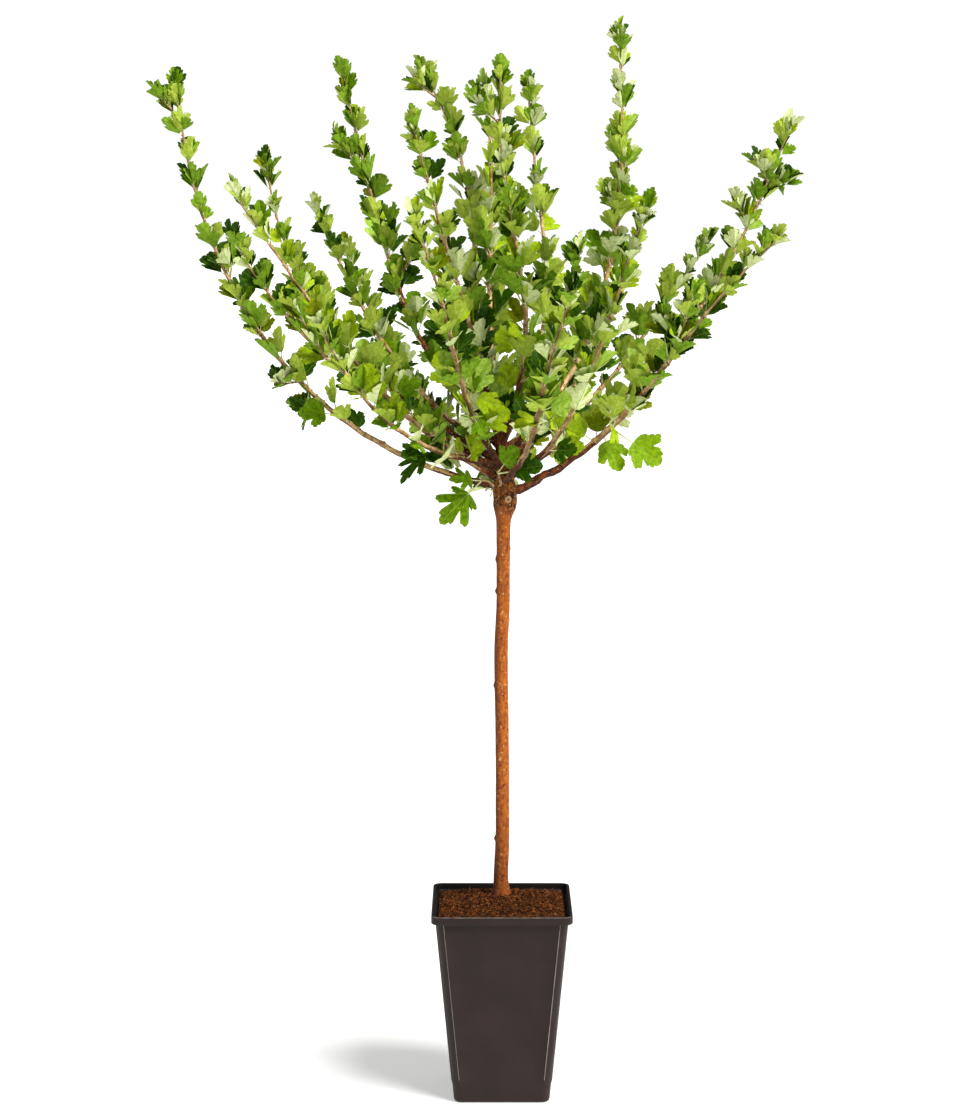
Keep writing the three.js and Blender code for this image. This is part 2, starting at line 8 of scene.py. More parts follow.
import bpy
import numpy as np
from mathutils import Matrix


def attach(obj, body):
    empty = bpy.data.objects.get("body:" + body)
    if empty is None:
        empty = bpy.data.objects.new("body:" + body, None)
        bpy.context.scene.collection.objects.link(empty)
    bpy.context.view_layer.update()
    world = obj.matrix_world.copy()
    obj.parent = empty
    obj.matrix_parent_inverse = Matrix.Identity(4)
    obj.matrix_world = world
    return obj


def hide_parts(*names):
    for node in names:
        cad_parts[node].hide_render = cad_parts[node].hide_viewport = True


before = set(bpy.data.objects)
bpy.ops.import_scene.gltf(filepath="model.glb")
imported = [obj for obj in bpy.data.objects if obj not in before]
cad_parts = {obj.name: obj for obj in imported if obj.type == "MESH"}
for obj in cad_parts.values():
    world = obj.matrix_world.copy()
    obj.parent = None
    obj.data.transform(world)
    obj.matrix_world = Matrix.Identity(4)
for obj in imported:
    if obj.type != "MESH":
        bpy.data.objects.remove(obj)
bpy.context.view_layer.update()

# ---- driving dimensions, as in the source
DEG = math.pi / 180
UP = np.array([0.0, 0.0, 1.0])
MM = 0.001

POT = dict(height=210, foot_half=51.5, wall_half=69.8, rim_half=75, foot_corner=9, rim_corner=10,
           collar=9, wall=1.8, floor=4, foot_round=3, drain_radius=5, drain_spacing=28)
SOIL_SINK = 7

STEM_X, STEM_Y = 1.0, 22.0
STEM_STATIONS = [
    (211.3, 10.4, -1.6), (217, 9.0, -1.6), (228, 8.0, -1.8), (258, 7.6, -0.5), (320, 7.3, -0.1),
    (400, 7.2, -0.7), (470, 7.3, -1.8), (540, 7.1, 0.5), (600, 7.3, 0.5), (622, 8.0, 1.0),
    (636, 11.2, 2.0), (650, 12.2, 2.4), (662, 10.4, 1.2), (680, 8.0, -0.6), (698, 6.4, -1.2),
    (712, 4.6, -1.4),
]
STEM_FOOT = STEM_STATIONS[0][0]
STEM_TIP = STEM_STATIONS[-1][0]
STUB = dict(height=646, azimuth=292, slope=-0.12, radius=4, reach=15)

# azimuth, foot, reach, top, launch, finish, bow, wave
CANES = [
    (344, 648, 288, 916, 24, 43, 6, 9),
    (20, 664, 332, 1034, 29, 67, -6, -1),
    (33, 690, 268, 906, 19, 48, -1, -2),
    (42, 698, 171, 1134, 23, 86, -7, 7),
    (60, 672, 290, 892, 25, 60, 6, -5),
    (74, 708, 101, 1076, 65, 85, -28, -7),
    (90, 686, 262, 965, 30, 65, 5, 6),
    (98, 709, 128, 1078, 66, 67, 4, 4),
    (115, 700, 204, 1096, 53, 45, -12, 5),
    (126, 668, 300, 898, 18, 55, 5, 4),
    (136, 698, 244, 1091, 38, 80, -5, 7),
    (149, 688, 237, 942, 29, 60, 4, 2),
    (166, 682, 261, 994, 32, 83, 7, 7),
    (177, 656, 345, 1074, 11, 83, 4, -5),
    (191, 674, 284, 917, 30, 59, -4, 2),
    (208, 664, 304, 964, 29, 55, 4, -6),
    (222, 684, 250, 840, 2, 55, -5, 4),
    (229, 694, 140, 1034, 72, 64, -4, 2),
    (243, 678, 195, 942, 40, 68, 6, -5),
    (268, 704, 93, 1084, 70, 82, 19, 10),
    (284, 662, 270, 870, 22, 55, -4, 5),
    (301, 680, 148, 906, 47, 72, 2, 3),
    (322, 668, 185, 950, 16, 57, -2, -9),
]
CANE = dict(handle=0.4, start=4, foot_radius=3.5, tip_radius=0.9, bare=40, steps=12, sides=10)
# Canes that differ: the length of the bough, the length with none but marked leaves, and the girth.
CANE_OWN = {
    0: dict(clear=100, girth=1.3), 1: dict(clear=60), 13: dict(clear=80),
    17: dict(bare=18), 18: dict(bare=18), 19: dict(bare=18), 21: dict(bare=18),
}

# cane, share of its length, azimuth, rise, length, age of the leaves
SIDE_SHOOTS = [
    (0, 0.62, 180, 65, 40, 0.6),
    (1, 0.86, 340, 15, 22, 0.9),
    (8, 0.92, 180, 35, 26, 0.9),
    (10, 0.78, 180, 48, 42, 0.8),
    (10, 0.5, 350, 60, 50, 0.4),
    (13, 0.95, 180, 45, 28, 0.95),
    (13, 0.36, 195, -25, 20, 0.3),
    (13, 0.42, 230, -5, 26, 0.2),
    (19, 0.88, 180, 40, 30, 0.9),
]
# the same fields as a cane's, and the age of the leaves
SPURS = [
    (205, 652, 26, 664, 30, -10, 0, 0, 0.7),
    (108, 646, 58, 646, 20, -30, 0, 0, 0.3),
    (256, 652, 24, 674, 45, 20, 0, 0, 0.4),
]
SPUR = dict(bare=0.3, foot_radius=2.2, steps=4)

# Large leaves that mark the fork: limb, share of its length, azimuth, rise and length, as in the source,
# then the leaf's tone, and its manner: over shows its underside, cut is deeply cut, edge is also seen
# on edge, and long and short are its stalk.
MARKED_LEAVES = [
    (0, 0.31, 315, -55, 43, "vivid", "short"),
    (0, 0.34, 336, -31, 66, "vivid", "long"),
    (0, 0.18, 301, 60, 46, "bright", ""),
    (0, 0.22, 226, 34, 41, "young", "over"),
    (13, 0.33, 216, 6, 46, "green", ""),
    (13, 0.36, 105, -3, 29, "deep", ""),
    (15, 0.18, 211, -28, 64, "deep", "edge"),
    (15, 0.14, 223, -16, 52, "deep", ""),
    (15, 0.22, 301, 7, 36, "green", ""),
    (17, 0.1, 200, 0, 40, "young", "over"),
    (18, 0.12, 247, 60, 26, "bright", ""),
    (21, 0.14, 318, 15, 52, "deep", ""),
    (22, 0.26, 223, 37, 46, "young", "over"),
    (22, 0.2, 323, 0, 41, "deep", ""),
    (23, 0.95, 201, -42, 64, "green", "cut"),
    (23, 0.9, 213, 4, 44, "green", "cut"),
    (25, 0.9, 325, 12, 56, "deep", "long"),
    (25, 0.98, 325, 48, 38, "green", ""),
]
MARKED_FACE = (270, 25)  # azimuth and rise that their upper faces look to
MARKED_AGE = 0.15

# A pair holds the value low on a cane and the one at its tip, or the least and the most.
LEAF = dict(turn=137.5, first=12, last=5, node=(22, 14), length=(54, 25), spread=(58, 34), tip_spread=12,
            turn_jitter=15, spread_jitter=10, length_jitter=0.18, sizes=(1, 0.8), width=0.86, widest=0.64,
            fold=0.06, lift=0.8, face_lift=0.6, roll=50)
TWIG = dict(chance=0.12, start=0.12, stop=0.72, every=0.1, length=(105, 45), length_jitter=0.2,
            angle=34, lift=0.4, foot_radius=1.1, foot_wider=1.25, tip_radius=0.63, bare=0.1, sides=7)
SPACE = dict(margin=1.4, limb=1.2, samples=24, leader=15, over_tip=4)


# ---- small helpers
class RandomSource:
    """The source's own seeded numbers, from 0 up to 1."""

    def __init__(self, seed):
        self.state = (seed * 2654435761) % 4294967296

    def __call__(self):
        self.state = (self.state * 1664525 + 1013904223) % 4294967296
        return self.state / 4294967296

    def jitter(self, most):
        return most * (2 * self() - 1)

    def between(self, low, high):
        return low + (high - low) * self()


def mix(a, b, share):
    return a + (b - a) * share


def unit(v):
    return v / np.linalg.norm(v)


def square_to(v, way):
    """The direction of what is left of v at right angles to a unit vector."""
    return unit(v - way * (v @ way))


def turned(v, axis, degrees):
    """v turned about a unit axis."""
    c, s = math.cos(degrees * DEG), math.sin(degrees * DEG)
    return v * c + np.cross(axis, v) * s + axis * (axis @ v) * (1 - c)


def towards(azimuth, rise, length=1.0):
    """A vector with an azimuth and a rise in degrees."""
    level = length * math.cos(rise * DEG)
    return np.array([level * math.cos(azimuth * DEG), level * math.sin(azimuth * DEG),
                     length * math.sin(rise * DEG)])


def reaches_along(points):
    """The length of a line from its start to each of its points."""
    return np.concatenate([[0], np.cumsum(np.linalg.norm(np.diff(points, axis=0), axis=1))])


def curve_points(handles, t):
    """Points of a cubic curve."""
    t = t[:, None]
    weights = np.hstack([(1 - t) ** 3, 3 * (1 - t) ** 2 * t, 3 * (1 - t) * t**2, t**3])
    return weights @ np.array(handles)


def centre_line(shape, samples):
    """The centre line of a cane or spur as points an equal length apart."""
    azimuth, foot, reach, top, launch, finish, bow, wave = shape[:8]
    out = towards(azimuth, 0)
    span = math.hypot(reach - CANE["start"], top - foot) * CANE["handle"]
    handles = [
        (CANE["start"], foot),
        (CANE["start"] + math.cos(launch * DEG) * span, foot + math.sin(launch * DEG) * span),
        (reach - math.cos(finish * DEG) * span, top - math.sin(finish * DEG) * span),
        (reach, top),
    ]
    t = np.linspace(0, 1, 201)
    lengths = reaches_along(curve_points(handles, t))
    share = np.linspace(0, 1, samples + 1)
    flat = curve_points(handles, np.interp(share * lengths[-1], lengths, t))
    swing = bow * np.sin(math.pi * share) + wave * np.sin(2 * math.pi * share)
    middle = np.array([STEM_X, STEM_Y, 0.0])
    return middle + flat[:, :1] * out + flat[:, 1:] * UP + swing[:, None] * np.cross(UP, out)


class Shoot:
    """A stretch of stem: straight lengths between points, and the radius at either end."""

    def __init__(self, points, foot_radius, tip_radius):
        self.points = np.array(points, float)
        self.reaches = reaches_along(self.points)
        self.length = self.reaches[-1]
        self.foot_radius, self.tip_radius = foot_radius, tip_radius

    def segment(self, share):
        found = np.nonzero(self.reaches[1:] >= share * self.length - 1e-6)[0]
        return int(found[0]) + 1 if len(found) else len(self.points) - 1

    def point(self, share):
        i = self.segment(share)
        part = (share * self.length - self.reaches[i - 1]) / (self.reaches[i] - self.reaches[i - 1])
        return mix(self.points[i - 1], self.points[i], part)

    def along(self, share):
        i = self.segment(share)
        return unit(self.points[i] - self.points[i - 1])

    def radius(self, share):
        return mix(self.foot_radius, self.tip_radius, share)


class Cane:
    """A cane or spur: the source's straight lengths for its rule, and a smooth line for its wood."""

    def __init__(self, shape, steps, foot_radius, index):
        self.shape = shape
        self.index = index
        own = CANE_OWN.get(index, {})
        foot_radius = foot_radius * own.get("girth", 1)
        self.shoot = Shoot(centre_line(shape, steps), foot_radius, CANE["tip_radius"])
        self.smooth = Shoot(centre_line(shape, steps * 8), foot_radius, CANE["tip_radius"])
        self.is_spur = len(shape) > 8
        if self.is_spur:
            self.bare = self.clear = SPUR["bare"]
            self.side_shoots = []
        else:
            whole = math.floor(own.get("bare", CANE["bare"]) / self.shoot.length * CANE["steps"])
            self.bare = (whole + 0.5) / CANE["steps"]
            self.clear = max(self.bare, own.get("clear", 0) / self.shoot.length)
            self.side_shoots = [s for s in SIDE_SHOOTS if s[0] == index]

    def age(self, share):
        return self.shape[8] if self.is_spur else share


canes = [Cane(shape, CANE["steps"], CANE["foot_radius"], i) for i, shape in enumerate(CANES)]
spurs = [Cane(shape, SPUR["steps"], SPUR["foot_radius"], len(CANES) + i) for i, shape in enumerate(SPURS)]
everything = canes + spurs


def leaf_corners(foot, way, face, length):
    """A leaf's two widest corners and its tip, as in the source."""
    half = np.cross(face, way) * length * LEAF["width"] / 2
    wide = foot + way * length * LEAF["widest"] + face * length * LEAF["fold"]
    return wide + half, wide - half, foot + way * length


marked_face = towards(*MARKED_FACE)
marked_leaves = []
for limb, at, azimuth, rise, length, tone, manner in MARKED_LEAVES:
    way = towards(azimuth, rise)
    marked_leaves.append(dict(limb=limb, share=at, way=way, face=square_to(marked_face, way), length=length,
                              age=MARKED_AGE, tone=tone, manner=manner))

# Points on each limb's centre line and on its marked leaves, to tell whose space a place is in.
sample_points, sample_radii, sample_owner = [], [], []
for cane in everything:
    for share in np.linspace(0, 1, SPACE["samples"] + 1):
        sample_points.append(cane.shoot.point(share))
        sample_radii.append(cane.shoot.radius(share))
        sample_owner.append(cane.index)
    for leaf in marked_leaves:
        if leaf["limb"] != cane.index:
            continue
        foot = cane.shoot.point(leaf["share"])
        left, right, tip = leaf_corners(foot, leaf["way"], leaf["face"], leaf["length"])
        middles = [mix(foot, tip, share) for share in (0.25, 0.5, 0.75)]
        for point in (left, right, tip, *middles):
            sample_points.append(point)
            sample_radii.append(0.0)
            sample_owner.append(cane.index)
sample_points, sample_radii = np.array(sample_points), np.array(sample_radii)
sample_owner = np.array(sample_owner)


def clear_of(point, away, others, over_tip):
    """True where the point keeps clear of the other limbs' wood and of the leader."""
    if (away[others] < sample_radii[others] + SPACE["limb"]).any():
        return False
    from_leader = math.hypot(point[0] - STEM_X, point[1] - STEM_Y)
    return point[2] > STEM_TIP + over_tip or from_leader > SPACE["leader"]


def in_own_space(point, own):
    """True where the point is nearer to its own limb than to any other, and clear of the leader."""
    away = np.linalg.norm(sample_points - point, axis=1)
    others = sample_owner != own
    nearer = away[others].min() >= away[~others].min() + SPACE["margin"]
    return nearer and clear_of(point, away, others, SPACE["over_tip"])


def clear_of_limbs(point, own):
    """True where the point is clear of all other limbs and of the leader."""
    away = np.linalg.norm(sample_points - point, axis=1)
    return clear_of(point, away, (sample_owner != own) & (sample_radii > 0), 0)


# ---- where leaves and twigs grow
def leaf_frame(along, turn, spread, roll, lift=LEAF["lift"]):
    """A direction at an angle from the shoot, turned round it, and the leaf's upper face there."""
    side = np.cross(along, UP)
    side = np.array([1.0, 0, 0]) if np.linalg.norm(side) < 0.05 else unit(side)
    out = turned(side, along, turn)
    c, s = math.cos(spread * DEG), math.sin(spread * DEG)
    way = unit(along * c + out * s + UP * lift)
    face = along * s - out * c + UP * LEAF["face_lift"]
    return way, turned(square_to(face, way), way, roll)


def leaves_of(shoot, start, age_at, random):
    """The leaves of one shoot: share of its length, turn, spread, roll, length, age, direction, face."""
    leaves = []
    turn = 360 * random()
    reach = start * shoot.length + LEAF["first"]
    while reach < shoot.length - LEAF["last"]:
        share = reach / shoot.length
        age = age_at(share)
        turn += LEAF["turn"] + random.jitter(LEAF["turn_jitter"])
        spread = mix(*LEAF["spread"], age) + random.jitter(LEAF["spread_jitter"])
        roll = random.jitter(LEAF["roll"])
        length = mix(*LEAF["length"], age)
        length *= 1 + random.jitter(LEAF["length_jitter"])
        way, face = leaf_frame(shoot.along(share), turn, spread, roll)
        leaves.append(dict(share=share, turn=turn, spread=spread, length=length, age=age, way=way,
                           face=face))
        reach += mix(*LEAF["node"], age)
    turn += LEAF["turn"]
    way, face = leaf_frame(shoot.along(1), turn, LEAF["tip_spread"], 0)
    age = age_at(1)
    length = mix(*LEAF["length"], age)
    leaves.append(dict(share=1.0, turn=turn, spread=LEAF["tip_spread"], length=length, age=age,
                       way=way, face=face, tip=True))
    return leaves


def twigs_of(cane, random):
    """The marked side shoots of a cane, and twigs that leave it at seeded places and turn up beside it."""
    twigs = []
    for _, at, azimuth, rise, length, age in cane.side_shoots:
        foot = cane.shoot.point(at)
        tip = foot + towards(azimuth, rise, length)
        twigs.append((age, Shoot([foot, tip], TWIG["foot_radius"], TWIG["tip_radius"])))
    share = TWIG["start"]
    while share < TWIG["stop"]:
        grows = random() < TWIG["chance"]
        turn = 360 * random()
        stretch = 1 + random.jitter(TWIG["length_jitter"])
        if grows:
            age = mix(cane.bare, 1, share)
            half = mix(*TWIG["length"], share) * stretch / 2
            way, _ = leaf_frame(cane.shoot.along(age), turn, TWIG["angle"], 0)
            foot = cane.shoot.point(age)
            knee = foot + way * half
            tip = knee + unit(way + UP * TWIG["lift"]) * half
            twigs.append((age, Shoot([foot, knee, tip], TWIG["foot_radius"], TWIG["tip_radius"])))
        share += TWIG["every"]
    return twigs


def leaf_fits(foot, leaf, size, own):
    """True where the leaf's two widest corners and its tip stay in its limb's own space."""
    corners = leaf_corners(foot, leaf["way"], leaf["face"], leaf["length"] * size)
    return all(in_own_space(corner, own) for corner in corners)


# Leaf clusters: how many more leaves a node bears low on a cane and at its tip. Below back_age some of
# them lean back towards the fork.
CLUSTER = dict(count=(2.4, 2.0), count_jitter=0.7, turn=95, least_turn=0.35, outer_turn=0.6,
               size=(0.65, 1.08), spread=20, wider=18, lift=0.55, roll=60, back_age=0.35, back_chance=0.4,
               back_spread=125, none_back=(20,))
# The short spurs that some clusters sit on; foot is how much thicker their feet are.
SHORT_SPUR = dict(chance=0.3, until=0.65, length=(7, 20), radius=0.85, foot=1.3, angle=50,
                  turn_jitter=60, sag=0.06)
# From this age the leaves stand in tufts: every second node is drawn back to the one before it.
TUFT = dict(age=0.42, chance=0.8, pull=0.7)
# Leaves over the first stretch of a cane, which hang about the fork and look outwards.
FORK = dict(first=22, every=17, uneven=(0.7, 1.3), until=110, length=(28, 44), spread=(40, 90), hang=0.35,
            face_rise=28, face_jitter=45, age=0.15, per_spray=3, without=(0, 1, 13, 20, 21, 22))
# Fine side shoots that carry the marked ones on: cane, share of its length, azimuth, rise, length.
FINE_SHOOTS = [
    (1, 0.78, 185, 55, 20), (1, 0.88, 180, 60, 18), (3, 0.62, 190, 55, 18), (3, 0.74, 185, 60, 14),
    (10, 0.62, 20, 60, 16), (12, 0.62, 60, 65, 16), (19, 0.62, 330, 60, 18), (19, 0.78, 0, 60, 14),
]
CLUSTERS_FROM = {13: 0.5}  # canes that bear no clusters below an age
LEAVES_FROM = {13: 0.24}  # and no leaves
# The rosette of young leaves round a shoot's tip.
ROSETTE = dict(count=8, size=(0.7, 1.15), spread=(16, 85), back=3, turn_jitter=25, roll=30)
# Where the seeds of a cane's random numbers start: for the source's rule, and for what is only here.
SEEDS = dict(rule=1, fine=101, fork=201, shoots=301)

leaves = []  # foot, way, face, length, age, limb, spray
twig_lines = []  # points, foot radius, tip radius
nodes = []  # where a leaf and its cluster leave a shoot: point, along, out, age, limb, radius


def add_leaf(foot, leaf, own, spray):
    """Adds a leaf at the largest of the source's sizes that keeps to its limb's space, if any does."""
    for size in LEAF["sizes"]:
        if leaf_fits(foot, leaf, size, own):
            leaves.append(dict(leaf, foot=foot, length=leaf["length"] * size, own=own, spray=spray))
            return


def add_fork_leaves(cane, fine, spray):
    """Adds the leaves that hang about the fork from the first stretch of a cane."""
    own, line, reach = cane.index, cane.smooth, FORK["first"]
    while reach < FORK["until"]:
        share = reach / line.length
        turn, spread = 360 * fine(), fine.between(*FORK["spread"])
        way, _ = leaf_frame(line.along(share), turn, spread, 0)
        way = unit(way - UP * FORK["hang"] * fine())
        looks_to = towards(cane.shape[0] + fine.jitter(FORK["face_jitter"]), FORK["face_rise"])
        face = square_to(looks_to, way)
        length = fine.between(*FORK["length"])
        foot = line.point(share)
        if all(clear_of_limbs(corner, own) for corner in leaf_corners(foot, way, face, length)):
            leaves.append(dict(foot=foot, way=way, face=face, length=length, age=FORK["age"], own=own,
                               spray=spray + int(reach / FORK["per_spray"])))
        reach += FORK["every"] * fine.between(*FORK["uneven"])


def add_rosette(line, along, turn_from, fine, own, spray):
    """Adds the young leaves round a shoot's tip."""
    for i in range(ROSETTE["count"]):
        turn = turn_from + 360 * i / ROSETTE["count"] + fine.jitter(ROSETTE["turn_jitter"])
        spread = fine.between(*ROSETTE["spread"])
        way, face = leaf_frame(along, turn, spread, fine.jitter(ROSETTE["roll"]))
        size = fine.between(*ROSETTE["size"])
        young = dict(way=way, face=face, length=LEAF["length"][1] * size, age=1.0)
        add_leaf(line.point(1 - ROSETTE["back"] * i / line.length), young, own, spray)


def add_cluster(foot, along, leaf, fine, own, spray):
    """Adds the further leaves at a leaf's node, which may sit on a short spur of their own."""
    age = leaf["age"]
    bears = age >= CLUSTERS_FROM.get(own, 0)
    count = mix(*CLUSTER["count"], age) + fine.jitter(CLUSTER["count_jitter"])
    count = int(count + fine()) if bears else 0
    seat = foot
    if bears and age < SHORT_SPUR["until"] and fine() < SHORT_SPUR["chance"]:
        length = fine.between(*SHORT_SPUR["length"])
        turn = leaf["turn"] + fine.jitter(SHORT_SPUR["turn_jitter"])
        way, _ = leaf_frame(along, turn, SHORT_SPUR["angle"], 0)
        end = foot + way * length
        if in_own_space(end, own):
            bend = foot + way * length * 0.5 - UP * length * SHORT_SPUR["sag"]
            twig_lines.append(dict(points=[foot, bend, end], foot=SHORT_SPUR["radius"] * SHORT_SPUR["foot"],
                                   tip=SHORT_SPUR["radius"]))
            seat = end
            count += 1
    leans_back = age < CLUSTER["back_age"]
    for i in range(count):
        swing = fine.between(CLUSTER["least_turn"], 1) * CLUSTER["turn"]
        swing *= 1 + i // 2 * CLUSTER["outer_turn"]
        turn = leaf["turn"] + (swing if i % 2 else -swing)
        spread = leaf["spread"] + CLUSTER["wider"] + fine.jitter(CLUSTER["spread"])
        if leans_back and fine() < CLUSTER["back_chance"] and own not in CLUSTER["none_back"]:
            spread = CLUSTER["back_spread"] + fine.jitter(CLUSTER["spread"])
        way, face = leaf_frame(along, turn, spread, fine.jitter(CLUSTER["roll"]), CLUSTER["lift"])
        size = fine.between(*CLUSTER["size"])
        more = dict(way=way, face=face, length=leaf["length"] * size, age=age)
        add_leaf(seat, more, own, spray)


def grow(shoot, line, start, age_at, random, fine, own, spray):
    """Adds the rule's leaves of one shoot, then each node's cluster and the rosette at its tip."""
    last_share = None
    for leaf in leaves_of(shoot, start, age_at, random):
        share, age, is_tip = leaf["share"], leaf["age"], leaf.get("tip")
        draws_back = fine() < TUFT["chance"]
        if last_share is not None and draws_back and age > TUFT["age"] and not is_tip:
            share = mix(share, last_share, TUFT["pull"])
            last_share = None
        else:
            last_share = share
        foot, along = line.point(share), line.along(share)
        spray += 1
        if age >= LEAVES_FROM.get(own, 0):
            add_leaf(foot, leaf, own, spray)
        nodes.append(dict(point=foot, along=along, out=square_to(leaf["way"], along), age=age, own=own,
                          radius=line.radius(share)))
        if is_tip:
            add_rosette(line, along, leaf["turn"], fine, own, spray)
        else:
            add_cluster(foot, along, leaf, fine, own, spray)
    return spray


def add_twig(twig, foot_radius):
    twig_lines.append(dict(points=twig.points, foot=foot_radius, tip=twig.tip_radius))


spray = 0
for cane in everything:
    own = cane.index
    random, fine = RandomSource(own + SEEDS["rule"]), RandomSource(own + SEEDS["fine"])
    for leaf in marked_leaves:
        if leaf["limb"] == own:
            spray += 1
            add_leaf(cane.smooth.point(leaf["share"]), leaf, own, spray)
    if not cane.is_spur and own not in FORK["without"]:
        add_fork_leaves(cane, RandomSource(own + SEEDS["fork"]), spray)
        spray += FORK["until"] // FORK["per_spray"]
    # The rule draws the cane's own leaves first, then its twigs, then the leaves of each twig.
    spray = grow(cane.shoot, cane.smooth, cane.clear, cane.age, random, fine, own, spray)
    if cane.is_spur:
        continue
    for age, twig in twigs_of(cane, random):
        if all(in_own_space(twig.point(share), own) for share in (0.5, 1)):
            add_twig(twig, twig.foot_radius * TWIG["foot_wider"])
            spray = grow(twig, twig, TWIG["bare"], lambda s, a=age: mix(a, 1, s), random, fine, own, spray)

for own, at, azimuth, rise, length in FINE_SHOOTS:
    foot = canes[own].smooth.point(at)
    tip = foot + towards(azimuth, rise, length)
    if in_own_space(tip, own):
        shoot = Shoot([foot, tip], TWIG["foot_radius"], TWIG["tip_radius"])
        add_twig(shoot, shoot.foot_radius)
        random = RandomSource(own + SEEDS["shoots"] + int(100 * at))
        spray = grow(shoot, shoot, TWIG["bare"], lambda s, a=at: mix(a, 1, s), random, random, own, spray)


# ---- meshes from arrays
def frame_along(points):
    """A line's direction at each of its points, and a side at right angles that turns as little as it can."""
    along = np.gradient(points, axis=0)
    along /= np.linalg.norm(along, axis=1, keepdims=True)
    side = np.array([1.0 if abs(along[0][0]) < 0.8 else 0.0, 0.0, 0.7])
    sides = []
    for way in along:
        side = square_to(side, way)
        sides.append(side)
    return along, np.array(sides)


def angles_round(count):
    return 2 * math.pi * np.arange(count) / count


def rings_about(points, radii, along, sides):
    """A ring about each point; radii (n, k) gives the radius at each point and each of k sides."""
    angles = angles_round(radii.shape[1])[:, None]
    others = np.cross(along, sides)[:, None]
    return points[:, None] + radii[:, :, None] * (np.cos(angles) * sides[:, None] + np.sin(angles) * others)


def quads_between(rows, columns):
    """The faces between rows of points that each run round in a ring."""
    start = np.arange(rows - 1)[:, None] * columns
    here = np.arange(columns)[None, :]
    after = (here + 1) % columns
    corners = [start + here, start + after, start + columns + after, start + columns + here]
    return np.stack(corners, axis=2).reshape(-1, 4)


class Batch:
    """Vertices and faces of many small pieces, joined into one mesh."""

    def __init__(self):
        self.points, self.faces, self.slots, self.count = [], [], [], 0

    def add(self, points, faces, slots):
        """points (n, 3) in mm; faces a list of (k, m) arrays of indices; slots one number or k for each."""
        self.points.append(points)
        for array, slot in zip(faces, slots):
            self.faces.append(array + self.count)
            self.slots.append(np.broadcast_to(slot, len(array)))
        self.count += len(points)

    def add_tube(self, points, radii, slots=0, foot_slot=0, tip_slot=0):
        """Adds a closed tube along points, with radii as rings_about takes them."""
        n, k = radii.shape
        rings = rings_about(points, radii, *frame_along(points)).reshape(-1, 3)
        here = np.arange(k)
        after = (here + 1) % k
        foot = np.stack([np.full(k, n * k), after, here], axis=1)
        tip = np.stack([np.full(k, n * k + 1), n * k - k + here, n * k - k + after], axis=1)
        self.add(np.concatenate([rings, points[[0, -1]]]), [quads_between(n, k), foot, tip],
                 [slots, foot_slot, tip_slot])

    def build(self, name, materials, sharp=50, smooth=True):
        """Makes the piece; edges sharper than sharp degrees stay sharp."""
        mesh = bpy.data.meshes.new(name)
        points = np.concatenate(self.points) * MM
        sizes = np.concatenate([np.full(len(f), f.shape[1]) for f in self.faces])
        loops = np.concatenate([f.ravel() for f in self.faces])
        starts = np.concatenate([[0], np.cumsum(sizes)[:-1]])
        mesh.vertices.add(len(points))
        mesh.vertices.foreach_set("co", points.astype(np.float32).ravel())
        mesh.loops.add(len(loops))
        mesh.loops.foreach_set("vertex_index", loops.astype(np.int32))
        mesh.polygons.add(len(sizes))
        mesh.polygons.foreach_set("loop_start", starts.astype(np.int32))
        mesh.polygons.foreach_set("material_index", np.concatenate(self.slots).astype(np.int32))
        mesh.polygons.foreach_set("use_smooth", np.full(len(sizes), smooth))
        for made in materials:
            mesh.materials.append(made)
        mesh.update(calc_edges=True)
        mesh.validate()
        if smooth:
            mesh.set_sharp_from_angle(angle=sharp * DEG)
        return linked(name, mesh)


def linked(name, data):
    """A new object in the scene."""
    made = bpy.data.objects.new(name, data)
    bpy.context.scene.collection.objects.link(made)
    return made


# ---- materials
def srgb(code):
    """A linear colour from a plain sRGB code such as 0x6f9a2c."""
    parts = [(code >> shift & 255) / 255 for shift in (16, 8, 0)]
    return [p / 12.92 if p <= 0.04045 else ((p + 0.055) / 1.055) ** 2.4 for p in parts] + [1.0]


def node_in(tree, kind, values):
    """Adds a node to a tree; each value is plain, or the socket that feeds the input."""
    made = tree.nodes.new("ShaderNode" + kind)
    feed(made, values)
    return made


def feed(made, values):
    for name, value in values.items():
        if isinstance(value, bpy.types.NodeSocket):
            made.id_data.links.new(value, made.inputs[name])
        else:
            made.inputs[name].default_value = value


def shader_of(made):
    return made.node_tree.nodes["Principled BSDF"]


def placed(made, stretch=(1, 1, 1)):
    """The material's object coordinates, stretched."""
    tree = made.node_tree
    place = tree.nodes.get("place") or node_in(tree, "TexCoord", {})
    place.name = "place"
    return node_in(tree, "Mapping", {"Scale": stretch, "Vector": place.outputs["Object"]}).outputs["Vector"]


